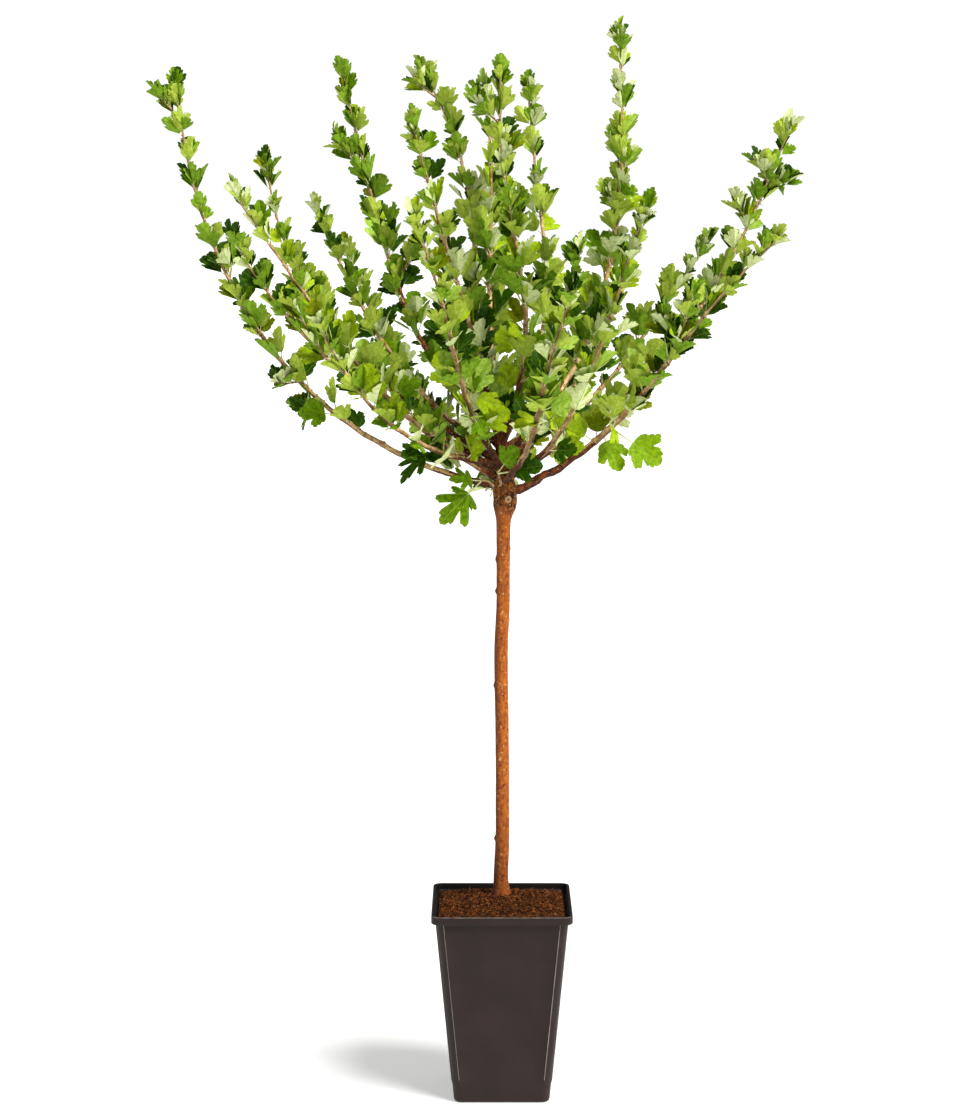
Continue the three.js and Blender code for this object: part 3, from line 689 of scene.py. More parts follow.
def material(name, dark, light, roughness, scale, bump=0.0, bump_scale=None, stretch=(1, 1, 1), detail=4.0,
             low=0.35, high=0.65, specular=0.5, subsurface=0.0):
    """A principled material whose colour runs between dark and light with noise, and a fine bump."""
    made = bpy.data.materials.new(name)
    made.use_nodes = True
    tree = made.node_tree
    place = placed(made, stretch)
    noise = node_in(tree, "TexNoise", {"Scale": scale, "Detail": detail, "Vector": place})
    ramp = node_in(tree, "ValToRGB", {"Fac": noise.outputs["Fac"]})
    for stop, position, code in zip(ramp.color_ramp.elements, (low, high), (dark, light)):
        stop.position = position
        stop.color = srgb(code)
    feed(shader_of(made), {"Base Color": ramp.outputs["Color"], "Roughness": roughness,
                           "Specular IOR Level": specular})
    if subsurface:
        feed(shader_of(made), {"Subsurface Weight": subsurface, "Subsurface Radius": (0.5, 1.0, 0.15),
                               "Subsurface Scale": 0.003})
    if bump:
        grain = node_in(tree, "TexNoise", {"Scale": bump_scale, "Vector": place})
        height = node_in(tree, "Bump", {"Strength": bump, "Distance": 0.0004, "Height": grain.outputs["Fac"]})
        feed(shader_of(made), {"Normal": height.outputs["Normal"]})
    return made


def passing(tree, value, low, high, most=1.0):
    """A mask from 0 to most where a value passes from low to high."""
    made = node_in(tree, "MapRange", {"From Min": low, "From Max": high, "To Max": most, "Value": value})
    return made.outputs["Result"]


def noise_mask(made, scale, low, high, stretch=(1, 1, 1)):
    """A mask from 0 to 1 where a noise passes from low to high."""
    place = placed(made, stretch)
    noise = node_in(made.node_tree, "TexNoise", {"Scale": scale, "Detail": 3.0, "Vector": place})
    return passing(made.node_tree, noise.outputs["Fac"], low, high)


def overlay(made, mask, code):
    """Lays a plain colour over a material's own colour where the mask is 1."""
    shader = shader_of(made)
    blend = made.node_tree.nodes.new("ShaderNodeMix")
    blend.data_type = "RGBA"
    feed(blend, {0: mask, 6: shader.inputs["Base Color"].links[0].from_socket, 7: srgb(code)})
    feed(shader, {"Base Color": blend.outputs[2]})


def paint_shade_below(made, code, most=0.8):
    """Blends a bark into a darker colour on the sides that look down: painted shade."""
    tree = made.node_tree
    form = node_in(tree, "NewGeometry", {})
    split = node_in(tree, "SeparateXYZ", {0: form.outputs["Normal"]})
    overlay(made, passing(tree, split.outputs["Z"], 0.2, -0.6, most), code)


def darken(made, axis, code, clear, full, most=1.0, sway=0.0):
    """Blends a bark into another colour along an axis, from a clear place to a full one, in mm.

    The edge wavers by sway, and the blend goes no further than most.
    """
    tree = made.node_tree
    split = node_in(tree, "SeparateXYZ", {0: tree.nodes["place"].outputs["Object"]})
    uneven = node_in(tree, "Math", {0: noise_mask(made, 90, 0.2, 0.8), 1: sway * MM, 2: split.outputs[axis]})
    uneven.operation = "MULTIPLY_ADD"
    overlay(made, passing(tree, uneven.outputs[0], clear * MM, full * MM, most), code)


# A leaf's upper tones, with a dark and a light colour and the bump, and its undersides, with a dark and a
# light colour and how far light seeps in.
# The deep tone is partly the leaves' own darker green and partly painted shade for leaves shaded inside the
# crown.
UPPER_TONES = {
    "bright": (0x809C04, 0xAEC61E, 0.5), "green": (0x4C6E02, 0x72980A, 0.5),
    "deep": (0x183200, 0x345602, 0.5), "young": (0x88AC2C, 0xB0CC58, 0.4),
    "olive": (0x606C00, 0x869006, 0.5), "vivid": (0x628406, 0x84A410, 0.5),
}
UNDER_TONES = {"pale": (0xBCCC7C, 0xDEE6AE, 0.05), "olive": (0x90A828, 0xB2C44E, 0.05),
               "green": (0x5E820E, 0x82A628, 0.03)}
TONES = list(UPPER_TONES)
UPPER = [material("leaf_" + tone, dark, light, 0.6, 260, bump, 350, specular=0.07, subsurface=0.03)
         for tone, (dark, light, bump) in UPPER_TONES.items()]
UNDER = [material("underside_" + tone, dark, light, 0.7, 260, 0.4, 350, specular=0.1, subsurface=seep)
         for tone, (dark, light, seep) in UNDER_TONES.items()]
VEIN = material("vein", 0x748C1E, 0x8EA63A, 0.5, 200, specular=0.2)
VEIN_DEEP = material("vein_deep", 0x48600A, 0x62781E, 0.5, 200, specular=0.2)
PETIOLE = material("petiole", 0xB4C070, 0xDADCA4, 0.5, 150, 0.2, 900)
BARK_TRUNK = material("bark_trunk", 0x702C02, 0xBC6608, 0.7, 420, 0.9, 900, stretch=(1, 1, 0.3),
                      low=0.2, high=0.8, specular=0.3, detail=6.0)
BARK_GRAFT = material("bark_graft", 0x2C160A, 0x94581E, 0.85, 210, 1.0, 700, low=0.38, high=0.66,
                      specular=0.2)
BARK_OLD = material("bark_old", 0x341404, 0x984A1A, 0.8, 240, 0.9, 1200, stretch=(1, 1, 0.6),
                    low=0.34, high=0.68, specular=0.3)
BARK_TAN = material("bark_tan", 0x8C582A, 0xEEC68A, 0.6, 170, 0.6, 1200, low=0.28, high=0.66, specular=0.2)
BARK_SHOOT = material("bark_shoot", 0x8C7A38, 0xC4A068, 0.55, 120, 0.3, 1200, low=0.3, high=0.7)
# Flecks on the bark: scale, where the noise passes from none to full, stretch along the limb, colour.
PALE_FLECKS, DARK_FLECKS = (480, 0.60, 0.68, 1.5), (330, 0.60, 0.67, 0.7)
for bark, flecks in (
    (BARK_GRAFT, [(*PALE_FLECKS, 0xC08A50), (*DARK_FLECKS, 0x140A05)]),
    (BARK_OLD, [(*PALE_FLECKS, 0xC09870), (*DARK_FLECKS, 0x1A0E08)]),
    (BARK_TAN, [(*PALE_FLECKS, 0xE8D4AC), (*DARK_FLECKS, 0x543818)]),
    (BARK_TRUNK, [(300, 0.60, 0.74, 1.2, 0xE0A868), (260, 0.54, 0.70, 0.8, 0x6A2406),
                  (170, 0.66, 0.78, 0.6, 0x3A1606)]),
):
    for scale, low, high, stretch, code in flecks:
        overlay(bark, noise_mask(bark, scale, low, high, (1, 1, stretch)), code)
# painted shade on the downward sides of the old, tan and green wood
paint_shade_below(BARK_OLD, 0x241004)
paint_shade_below(BARK_TAN, 0x4A2E14, most=0.75)
paint_shade_below(BARK_SHOOT, 0x6A5022)
# The trunk is darker at the graft, at its foot and on the side away from the light.
darken(BARK_TRUNK, "Z", 0x5C3214, 630, 656, sway=12)
darken(BARK_TRUNK, "Z", 0x5A2A08, 330, 215, most=0.45, sway=30)
darken(BARK_TRUNK, "X", 0x50220A, STEM_X - 2.5, STEM_X - 7.5, most=0.75)
CUT_WOOD = material("cut_wood", 0x94704A, 0xC2A078, 0.75, 900, 0.4, 2500)
CUT_HEART = material("cut_heart", 0x6E4420, 0x9A6A3C, 0.8, 700, 0.5, 2500)
SPINE = material("spine", 0x6B4A30, 0xA07C55, 0.5, 300, 0.2, 1500)
BUD = material("bud", 0x5A3620, 0x8F6238, 0.6, 500, 0.5, 2500)
PLASTIC = [
    material("pot_plastic", 0x211613, 0x2B1D19, 0.5, 22, 0.35, 2600, low=0.25, high=0.75, specular=0.22),
    # a painted highlight, lighter than the plastic, for the crests of the corner beads
    material("pot_bead_highlight", 0x6A625C, 0x948C86, 0.55, 60, 0.3, 2600, low=0.3, high=0.7, specular=0.4),
    # painted shade: the pot's inside is the same plastic as its outside, made near black
    material("pot_inside_shade", 0x0C0A09, 0x161210, 0.6, 30, 0.3, 2600, specular=0.2),
    material("pot_rim_dust", 0x4A4038, 0x8A7E72, 0.8, 120, 0.3, 2600, low=0.3, high=0.7, specular=0.2),
]
COMPOST = material("compost", 0x2C150A, 0x57300F, 1.0, 260, 1.0, 900, specular=0.1)
# kind of chip: dark and light colour, bump, and its share of the chips
CHIP_KINDS = {
    "dark": (0x2A1409, 0x462410, 0.8, 0.38), "brown": (0x4E2A10, 0x6E3F1A, 0.8, 0.34),
    "red": (0x602E10, 0x84481C, 0.8, 0.25), "pale": (0x6E4222, 0x94643A, 0.6, 0.03),
}
CHIPS = [material("chip_" + kind, dark, light, 0.95, 300, bump, 1500, specular=0.15)
         for kind, (dark, light, bump, _) in CHIP_KINDS.items()]


# ---- leaves
# Half of a leaf's outline from the stalk to the tip of its middle lobe, in blade lengths, along the
# midrib and across it. A vein is the end of a main vein, a notch lies between two teeth, and a sinus
# between two lobes.
GROWN_OUTLINE = [
    (0.0, 0.05), (0.0, 0.17), (0.03, 0.27), (0.10, 0.345, "vein"), (0.165, 0.375), (0.20, 0.355, "notch"),
    (0.27, 0.44), (0.335, 0.475), (0.36, 0.45, "notch"), (0.43, 0.525), (0.50, 0.55, "vein"), (0.56, 0.525),
    (0.57, 0.475, "notch"), (0.63, 0.455), (0.655, 0.40), (0.545, 0.22, "sinus"), (0.68, 0.27),
    (0.775, 0.29), (0.79, 0.25, "notch"), (0.86, 0.24), (0.915, 0.195), (0.915, 0.155, "notch"),
    (0.975, 0.11), (1.0, 0.0, "vein"),
]
YOUNG_OUTLINE = [
    (0.0, 0.035), (0.10, 0.09), (0.22, 0.19), (0.33, 0.29), (0.39, 0.345), (0.46, 0.385, "vein"),
    (0.525, 0.36, "notch"), (0.60, 0.39), (0.665, 0.385), (0.70, 0.345), (0.695, 0.29),
    (0.59, 0.175, "sinus"), (0.72, 0.22), (0.82, 0.235), (0.875, 0.205), (0.87, 0.155, "notch"),
    (0.945, 0.15), (0.985, 0.095), (1.0, 0.0, "vein"),
]
CUT_OUTLINE = [
    (0.0, 0.03), (0.02, 0.14), (0.07, 0.30), (0.13, 0.37, "vein"), (0.19, 0.36), (0.20, 0.28, "notch"),
    (0.26, 0.33), (0.22, 0.19, "sinus"), (0.38, 0.335), (0.50, 0.43), (0.58, 0.455, "vein"), (0.66, 0.43),
    (0.64, 0.35, "notch"), (0.66, 0.30), (0.46, 0.125, "sinus"), (0.62, 0.155), (0.74, 0.18), (0.84, 0.17),
    (0.84, 0.11, "notch"), (0.93, 0.09), (1.0, 0.0, "vein"),
]
FINE_RINGS, PLAIN_RINGS = (0.42, 0.78, 1.0), (0.62, 1.0)  # where a blade's rings of points lie
VEIN_WIDTH = 0.011
BLADE_START = 0.03  # how far from the stalk the blade's rays start
BLADE_THICKNESS = 0.34
# How a variant differs from its outline: the least and the most of each.
VARIANT = dict(notch=(0.7, 1.25), lobe=(0.9, 1.1), lean=(-0.03, 0.03), along=(-0.008, 0.008),
               across=(0.97, 1.03))
# A notch of NOTCH_USUAL is the outline's own. One that is 1 more is pulled in by this share.
NOTCH_USUAL, NOTCH_DEPTH = 0.9, 0.12
RELIEF_RISE, RELIEF_FALL = 1.15, 0.75  # how the blade rises between its veins, and falls off to its edge


def leaf_template(seed, shape, ring_shares):
    """One variant: its flat points, relief between the veins, share of the way out, and its faces.

    Rays run from the stalk to the outline in sectors parted by the main veins, with a point on each ray
    at each of ring_shares.
    """
    rng = np.random.default_rng(seed)
    pull = 1 - NOTCH_DEPTH * (rng.uniform(*VARIANT["notch"]) - NOTCH_USUAL)
    lobe = rng.uniform(*VARIANT["lobe"])
    lean = rng.uniform(*VARIANT["lean"])
    halves = []
    for sign in (1, -1):
        half = []
        for i, (x, y, *kind) in enumerate(shape):
            x = x + rng.uniform(*VARIANT["along"]) * (0 < i < len(shape) - 1)
            y = y * lobe * rng.uniform(*VARIANT["across"])
            if kind in (["notch"], ["sinus"]):
                x, y = x * pull, y * pull
            half.append((x, sign * y + lean * x * x, kind == ["vein"]))
        halves.append(half)
    tips, sector_of, after_vein = [], [], []
    sector = 0
    for x, y, vein in halves[0] + halves[1][-2::-1]:
        across = np.array([-y, x]) / math.hypot(x, y) * VEIN_WIDTH / 2 if vein else np.zeros(2)
        for side in (1, -1) if vein else (1,):
            sector += side < 0
            tips.append((x + side * across[0], y + side * across[1]))
            sector_of.append(sector)
            after_vein.append(side < 0)
    n, sectors = len(tips), sector + 1
    tips, sector_of = np.array(tips), np.array(sector_of)
    angles = np.array([math.atan2(y, x) for x, y in tips])
    first = np.searchsorted(sector_of, np.arange(sectors))
    last = np.append(first[1:], n) - 1
    # each sector starts from a point close to the stalk, half way round between its veins
    middle = (angles[first] + angles[last]) / 2
    starts = BLADE_START * np.stack([np.cos(middle), np.sin(middle)], axis=1)
    starts[0], starts[-1] = (0.0, BLADE_START), (0.0, -BLADE_START)
    round_share = (angles[first][sector_of] - angles) / (angles[first] - angles[last])[sector_of]
    swell = np.sin(math.pi * np.clip(round_share, 0, 1))
    base = starts[sector_of]
    points = np.concatenate([starts] + [base + (tips - base) * r for r in ring_shares])
    relief = [swell * r * (RELIEF_RISE - RELIEF_FALL * r) for r in ring_shares]
    relief = np.concatenate([np.zeros(sectors)] + relief)
    out = np.concatenate([np.zeros(sectors)] + [np.full(n, r) for r in ring_shares])
    ring_start = [sectors + n * i for i in range(len(ring_shares))]
    tris, quads, vein_quads = [], [], []
    for j in range(n - 1):
        here = ring_start[0] + j
        if after_vein[j + 1]:
            vein_quads.append((sector_of[j], here, here + 1, sector_of[j + 1]))
        else:
            tris.append((sector_of[j], here, here + 1))
        for low, high in zip(ring_start, ring_start[1:]):
            kind = vein_quads if after_vein[j + 1] else quads
            kind.append((low + j, high + j, high + j + 1, low + j + 1))
    tris, quads, vein_quads = np.array(tris), np.array(quads), np.array(vein_quads)
    # the lower surface has its own inner points and shares the outer ring
    lower = np.arange(len(points))
    inner = lower < ring_start[-1]
    lower[inner] = len(points) + np.arange(inner.sum())
    fan = np.array([(0, s, s + 1) for s in range(1, sectors - 1)])
    # the edge beside the stalk, from the first ray round to the last
    left = [0] + ring_start
    right = [sectors - 1] + [r + n - 1 for r in ring_start]
    rim = [(a, b, lower[b], lower[a]) for a, b in zip(left, left[1:])]
    rim += [(b, a, lower[a], lower[b]) for a, b in zip(right, right[1:])]
    rim.append((sectors - 1, 0, lower[0], lower[sectors - 1]))
    rim_quads = [q for q in rim if len(set(q)) == 4]
    rim_tris = [[v for i, v in enumerate(q) if v not in q[:i]] for q in rim if len(set(q)) == 3]
    faces = [np.concatenate([tris, fan])[:, ::-1], quads[:, ::-1], vein_quads[:, ::-1],
             lower[np.concatenate([tris, fan])], lower[quads], lower[vein_quads],
             np.array(rim_tris), np.array(rim_quads)]
    return dict(points=points, relief=relief, out=out, inner=inner, faces=faces)


def blade_points(template, leaf, form):
    """The blade's points in mm: along it, across it and up."""
    x, y = template["points"].T
    x = x + form["wedge"] * 0.55 * np.abs(y) * np.clip(1 - x, 0, 1)
    y = y * form["broad"]
    near = np.abs(y)
    flat_y = y * math.cos(form["fold"] * DEG)
    z = near * math.sin(form["fold"] * DEG)
    z = z - form["droop"] * x * x - form["cup"] * near * near + 0.05 * template["relief"]
    z = z + form["wave"] * template["out"] ** 2 * np.sin(3.0 * np.arctan2(y, x + 0.05) + form["phase"])
    z = z + form["twist"] * x * flat_y
    upper = np.stack([x, flat_y, z], axis=1) * (leaf["length"] - form["stalk"])
    below = upper[template["inner"]] - [0, 0, BLADE_THICKNESS]
    return np.concatenate([upper, below])


VARIANTS = 10
# A blade's form. stalk, wedge and fold are for the oldest and the youngest leaf; young_wedge and young_broad
# are for the young outline. A spread is the least and the most that is added to its form, or that broad is
# multiplied by. The pairs from droop on are the least and the most themselves.
BLADE = dict(
    stalk=(0.33, 0.17), young_spread=(-0.12, 0.12), wedge=(0.15, 0.5), young_wedge=0.2,
    wedge_spread=(-0.12, 0.12), broad=1.08, young_broad=1.22, broad_spread=(0.9, 1.08), fold=(10, 32),
    fold_spread=(-8, 12), droop=(-0.06, 0.24), cup=(-0.15, 0.3), wave=(0.0, 0.04), phase=(0, 6.28),
    twist=(-0.25, 0.25), pitch=(-22, 8),
)
FINE, PLAIN, YOUNG, CUT = [
    [leaf_template(seed, outline, rings) for seed in range(VARIANTS)]
    for outline, rings in ((GROWN_OUTLINE, FINE_RINGS), (GROWN_OUTLINE, PLAIN_RINGS),
                           (YOUNG_OUTLINE, PLAIN_RINGS), (CUT_OUTLINE, FINE_RINGS))
]
FINE_FROM = 33  # grown leaves longer than this have the finer blades
YOUNG_FROM = 0.6  # the age from which leaves have the young outline
STALKS = {"long": 0.44, "short": 0.18}  # the stalk's share of a marked leaf's length
STALK_RADIUS = (0.78, 0.46)  # on the oldest and the youngest leaf
# A stalk is as thick as STALK_LEAST of that radius, and thicker by the leaf's length over STALK_LONG.
STALK_LEAST, STALK_LONG = 0.75, 160
STALK_BOW, STALK_SINK = 0.06, 0.04  # how far it bows, and how far it runs into the blade, as shares
STALK_PLACES = np.array([0, 1, 2, 3])[:, None] / 3
STALK_GIRTH = np.array([1.25, 0.95, 0.85, 0.8, 0.3])  # at those places, and where it ends in the blade
EDGE_ROLL = 48  # how far a leaf that shows its edge is rolled, in degrees
LEAF_GROUPS = [(0, 1, 2, 3), (4, 5, 6, 7), (8, 9, 10, 11), (12, 13, 14, 15), (16, 17, 18, 19, 23, 24, 25),
               (20, 21, 22)]  # the limbs whose leaves are joined into one piece
# A cane's palette: shares of bright, green, deep, young and olive leaves, and of pale, olive and green
# undersides.
PALETTES = {
    "usual": ((0.25, 0.26, 0.29, 0.11, 0.09), (0.28, 0.42, 0.30)),
    "bright": ((0.36, 0.25, 0.17, 0.14, 0.08), (0.40, 0.38, 0.22)),
    "dark": ((0.08, 0.22, 0.55, 0.01, 0.14), (0.16, 0.40, 0.44)),
}
BRIGHT_CANES = (1, 2, 3, 15, 22)
DARK_CANES = (0, 8, 10, 11, 12, 13, 14)


def dealt(shares, draw):
    """The place in a list of shares that a draw from 0 to 1 falls on."""
    return int(np.searchsorted(np.cumsum(shares)[:-1], draw))


def tones_of(leaf, rng):
    """The slots of a leaf's two sides. The upper one is near the tone of its spray."""
    own = leaf["own"]
    upper, under = PALETTES["bright" if own in BRIGHT_CANES else "dark" if own in DARK_CANES else "usual"]
    if "tone" in leaf:
        upper_slot = TONES.index(leaf["tone"])
    else:
        spray_tone = np.random.default_rng(leaf["spray"] + 5).random()
        upper_slot = dealt(upper, (spray_tone + rng.normal(0, 0.16)) % 1.0)
    return upper_slot, len(UPPER) + dealt(under, rng.random())


leaf_batches = [Batch() for _ in LEAF_GROUPS]
stalk_batch = Batch()
for leaf in leaves:
    rng = np.random.default_rng(leaf["spray"] * 1000 + int(leaf["length"] * 7) % 997)
    age, length, manner = leaf["age"], leaf["length"], leaf.get("manner", "")
    upper_slot, under_slot = tones_of(leaf, rng)
    stalk = length * STALKS.get(manner, mix(*BLADE["stalk"], age))
    is_young = age + rng.uniform(*BLADE["young_spread"]) > YOUNG_FROM
    wedge = BLADE["young_wedge"] if is_young else mix(*BLADE["wedge"], age)
    form = dict(
        stalk=stalk,
        wedge=wedge + rng.uniform(*BLADE["wedge_spread"]),
        broad=BLADE["young_broad" if is_young else "broad"] * rng.uniform(*BLADE["broad_spread"]),
        fold=mix(*BLADE["fold"], age) + rng.uniform(*BLADE["fold_spread"]),
        **{name: rng.uniform(*BLADE[name]) for name in ("droop", "cup", "wave", "phase", "twist")},
    )
    grown = FINE if length > FINE_FROM else PLAIN
    family = CUT if manner in ("cut", "edge") else YOUNG if is_young else grown
    template = family[rng.integers(VARIANTS)]
    pitch = 0 if manner else rng.uniform(*BLADE["pitch"])
    across = np.cross(leaf["face"], leaf["way"])
    way, face = turned(leaf["way"], across, pitch), turned(leaf["face"], across, pitch)
    if manner == "edge":
        face = turned(face, way, EDGE_ROLL)
    if manner == "over":
        face = -face
        under_slot = len(UPPER)
    seat = leaf["foot"] + leaf["way"] * stalk
    points = seat + blade_points(template, leaf, form) @ np.stack([way, np.cross(face, way), face])
    vein = len(UPPER) + len(UNDER)  # a deep leaf's upper veins have the next slot to themselves
    upper_vein = vein + (TONES[upper_slot] == "deep")
    slots = [upper_slot, upper_slot, upper_vein, under_slot, under_slot, vein, upper_slot, upper_slot]
    kept = [(faces, slot) for faces, slot in zip(template["faces"], slots) if len(faces)]
    group = next(g for g, members in enumerate(LEAF_GROUPS) if leaf["own"] in members)
    leaf_batches[group].add(points, *zip(*kept))
    # the stalk bows a little and runs just into the blade
    bow = unit(np.cross(leaf["way"], across)) * -STALK_BOW * stalk
    line = leaf["foot"] + leaf["way"] * stalk * STALK_PLACES + bow * np.sin(math.pi * STALK_PLACES)
    line = np.concatenate([line, [seat + way * STALK_SINK * length]])
    thick = mix(*STALK_RADIUS, age) * (STALK_LEAST + length / STALK_LONG)
    stalk_batch.add_tube(line, np.repeat((thick * STALK_GIRTH)[:, None], 4, axis=1))

for g, batch in enumerate(leaf_batches):
    piece = batch.build(f"leaves_{g + 1}", UPPER + UNDER + [VEIN, VEIN_DEEP], sharp=60)
    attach(piece, "root")
    names = [f"foliage_{own + 1:02d}" if own < len(CANES) else f"spur_{own - len(CANES) + 1:02d}"
             for own in LEAF_GROUPS[g]]
    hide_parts(*names)
stalks = stalk_batch.build("leaf_stalks", [PETIOLE])
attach(stalks, "root")


# ---- wood
def ripple(u, v, seed, u_span=1.0, v_span=1.0, waves=7):
    """Smooth seeded relief over u, an angle, and v, a length, about -1 to 1."""
    source = np.random.default_rng(seed)
    total = np.zeros(np.broadcast(u, v).shape)
    for _ in range(waves):
        turns = source.integers(1, 1 + max(1, int(round(u_span * 4))))
        pace = source.uniform(0.3, 1.0) * v_span
        total = total + np.sin(turns * u + pace * v + source.uniform(0, 6.28)) * source.uniform(0.4, 1)
    return total / waves * 1.6


def knot_relief(u, v, knots):
    """Bumps on a limb: each knot has an angle, a place along the limb, a height, a length and a width."""
    total = np.zeros(np.broadcast(u, v).shape)
    for angle, place, height, long, wide in knots:
        if abs(place - v).min() > 4 * long:
            continue
        apart = (u - angle + math.pi) % (2 * math.pi) - math.pi
        total = total + height * np.exp(-((v - place) / long) ** 2 - (apart / wide) ** 2)
    return total


def angle_round(out, along, side):
    """The angle round a limb at which a direction leaves it."""
    return math.atan2(out @ np.cross(along, side), out @ side)


def along_line(line, step, least, smoothings):
    """Places a step apart along a line, as shares of its length, and points there with softened joints."""
    shares = np.linspace(0, 1, max(int(line.length / step), least))
    points = np.array([line.point(share) for share in shares])
    for _ in range(smoothings):
        points[1:-1] = (points[:-2] + 2 * points[1:-1] + points[2:]) / 4
    return shares, points, np.array([line.radius(share) for share in shares])


GREEN_FROM = 0.9  # the share of a cane's length from which it is a green shoot
# The share of its length that is old dark wood, how far that edge wavers, and the canes that differ.
OLD_WOOD_USUAL, OLD_WOOD_WAVER = 0.2, 0.03
OLD_WOOD = {0: 0.26, 1: 0.12, 10: 0.5, 12: 0.5, 13: 0.1, 15: 0.06, 17: 0.3}
# How far a cane swings between its nodes, in mm, the reach of one radian of a swing, and how far from the
# stem it is still held.
SWAY = dict(size=0.45, across=5.1, up=6.3, held=9)
# How far a cane's foot swings up and down, in mm, then the swing's radian and phase, and where it fades.
CROOKED = {0: 1.5}
CROOK = dict(radian=5.6, phase=0.6, fade=90)
COLLAR = dict(wider=0.45, fade=7)  # how much wider a cane is where it leaves the stem, as a share
# Ripples in the bark: share of the radius, seed, and how fast they run round the cane and along it.
RIPPLES = [(0.05, 300, 0.8, 0.9), (0.03, 400, 1.3, 2.5)]
GNARL = {0: 0.6, 13: 0.3}  # how knobbly a cane's foot is, as a share of its radius
GNARLED = dict(fade=70, seed=500, u_span=0.6, v_span=0.35)
# The knot at a node, and the swelling across from it: turn, share of the radius, more in mm, length, width.
NODE_KNOTS = [(0, 0.45, 0.12, 1.8, 0.9), (3.1, 0.12, 0, 1.4, 1.6)]
NODE_NEAR = 1.5  # how close to the wood a node's own place lies
# Old knots on a cane's foot: distance from the stem, whether above (1) or below (-1), and height.
OLD_KNOTS = {0: [(14, -1, 1.2), (24, 1, 1.5), (37, -1, 1.6), (46, 1, 1.3), (63, -1, 1.2), (82, 1, 1.0)],
             13: [(34, 1, 0.9), (58, -1, 0.8)], 15: [(40, 1, 0.8)], 21: [(30, 1, 0.8)]}
OLD_KNOT = dict(length=2.6, width=0.9, towards_viewer=0.6)

wood = Batch()
for cane in everything:
    own = cane.index
    shares, points, base = along_line(cane.smooth, step=2.4, least=8, smoothings=2)
    reach = shares * cane.smooth.length
    swing = np.random.default_rng(600 + own).uniform(0, 6.28, 4)
    across = np.cross(np.gradient(points, axis=0), UP)
    across /= np.linalg.norm(across, axis=1, keepdims=True) + 1e-9
    held = 1 - np.exp(-reach / SWAY["held"])
    swung = held * SWAY["size"] * np.sin(reach / SWAY["across"] + swing[0])
    lifted = SWAY["size"] * np.sin(reach / SWAY["up"] + swing[1])
    crook = CROOKED.get(own, 0) * np.exp(-reach / CROOK["fade"])
    lifted = lifted + crook * np.sin(reach / CROOK["radian"] + CROOK["phase"])
    points = points + across * swung[:, None]
    points = points + UP * (held * lifted)[:, None]
    base = base * (1 + COLLAR["wider"] * np.exp(-reach / COLLAR["fade"]))
    along, sides = frame_along(points)
    knots = []
    for node in nodes:
        if node["own"] != own:
            continue
        away = np.linalg.norm(points - node["point"], axis=1)
        i = int(away.argmin())
        if away[i] > NODE_NEAR:
            continue
        angle = angle_round(node["out"], along[i], sides[i])
        for turn, share, more, length, width in NODE_KNOTS:
            knots.append((angle + turn, reach[i], share * base[i] + more, length, width))
    for place, side_up, height in OLD_KNOTS.get(own, []):
        i = int(np.abs(reach - place).argmin())
        way = UP * side_up + OLD_KNOT["towards_viewer"] * marked_face
        knots.append((angle_round(way, along[i], sides[i]), place, height, OLD_KNOT["length"],
                      OLD_KNOT["width"]))
    angles = angles_round(CANE["sides"])
    u, v, girth = angles[None, :], reach[:, None], base[:, None]
    relief = sum(share * girth * ripple(u, v, seed + own, u_span, v_span)
                 for share, seed, u_span, v_span in RIPPLES)
    gnarl = GNARL.get(own, 0.0) * np.exp(-v / GNARLED["fade"])
    gnarls = ripple(u, v, GNARLED["seed"] + own, GNARLED["u_span"], GNARLED["v_span"])
    relief = relief + gnarl * girth * gnarls + knot_relief(u, v, knots)
    # older wood, then tan wood, then the green shoot
    ends = [OLD_WOOD.get(own, OLD_WOOD_USUAL), GREEN_FROM]
    place = shares[:-1, None] + OLD_WOOD_WAVER * np.sin(3 * angles + own)
    wood.add_tube(points, girth + relief, np.searchsorted(ends, place.ravel(), side="right"), 0, 2)
boughs = wood.build("boughs", [BARK_OLD, BARK_TAN, BARK_SHOOT], sharp=80)
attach(boughs, "root")
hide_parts(*[f"bough_{i + 1:02d}" for i in range(len(CANES))])

TWIG_COLLAR = dict(wider=0.5, fade=2)
TWIG_RIPPLE = dict(size=0.1, seed=7, v_span=1.6)
TWIG_GREEN_FROM = 0.6
twigs = Batch()
for twig in twig_lines:
    line = Shoot(twig["points"], twig["foot"], twig["tip"])
    shares, points, base = along_line(line, step=2.5, least=4, smoothings=3)
    u, v = angles_round(TWIG["sides"])[None, :], (shares * line.length)[:, None]
    base = base[:, None] * (1 + TWIG_COLLAR["wider"] * np.exp(-v / TWIG_COLLAR["fade"]))
    relief = TWIG_RIPPLE["size"] * base * ripple(u, v, TWIG_RIPPLE["seed"], v_span=TWIG_RIPPLE["v_span"])
    slots = np.repeat(shares[:-1] >= TWIG_GREEN_FROM, TWIG["sides"])
    twigs.add_tube(points, base + relief, slots, 0, 1)
twig_piece = twigs.build("twigs", [BARK_TAN, BARK_SHOOT], sharp=80)
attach(twig_piece, "root")


def smooth_through(z, zs, values):
    """Values at z on a smooth line through the stations."""
    slopes = np.gradient(values, zs)
    i = np.clip(np.searchsorted(zs, z) - 1, 0, len(zs) - 2)
    h = zs[i + 1] - zs[i]
    t = (z - zs[i]) / h
    steepest = 3 * ((values[i + 1] - values[i]) / h)
    a, b = [np.clip(slope, np.minimum(0, steepest), np.maximum(0, steepest))
            for slope in (slopes[i], slopes[i + 1])]
    return ((2 * t**3 - 3 * t**2 + 1) * values[i] + (t**3 - 2 * t**2 + t) * h * a
            + (-2 * t**3 + 3 * t**2) * values[i + 1] + (t**3 - t**2) * h * b)


# The trunk, from its flare at the compost to the tip of the leader.
TRUNK_SIDES, TRUNK_STEP = 56, 1.2
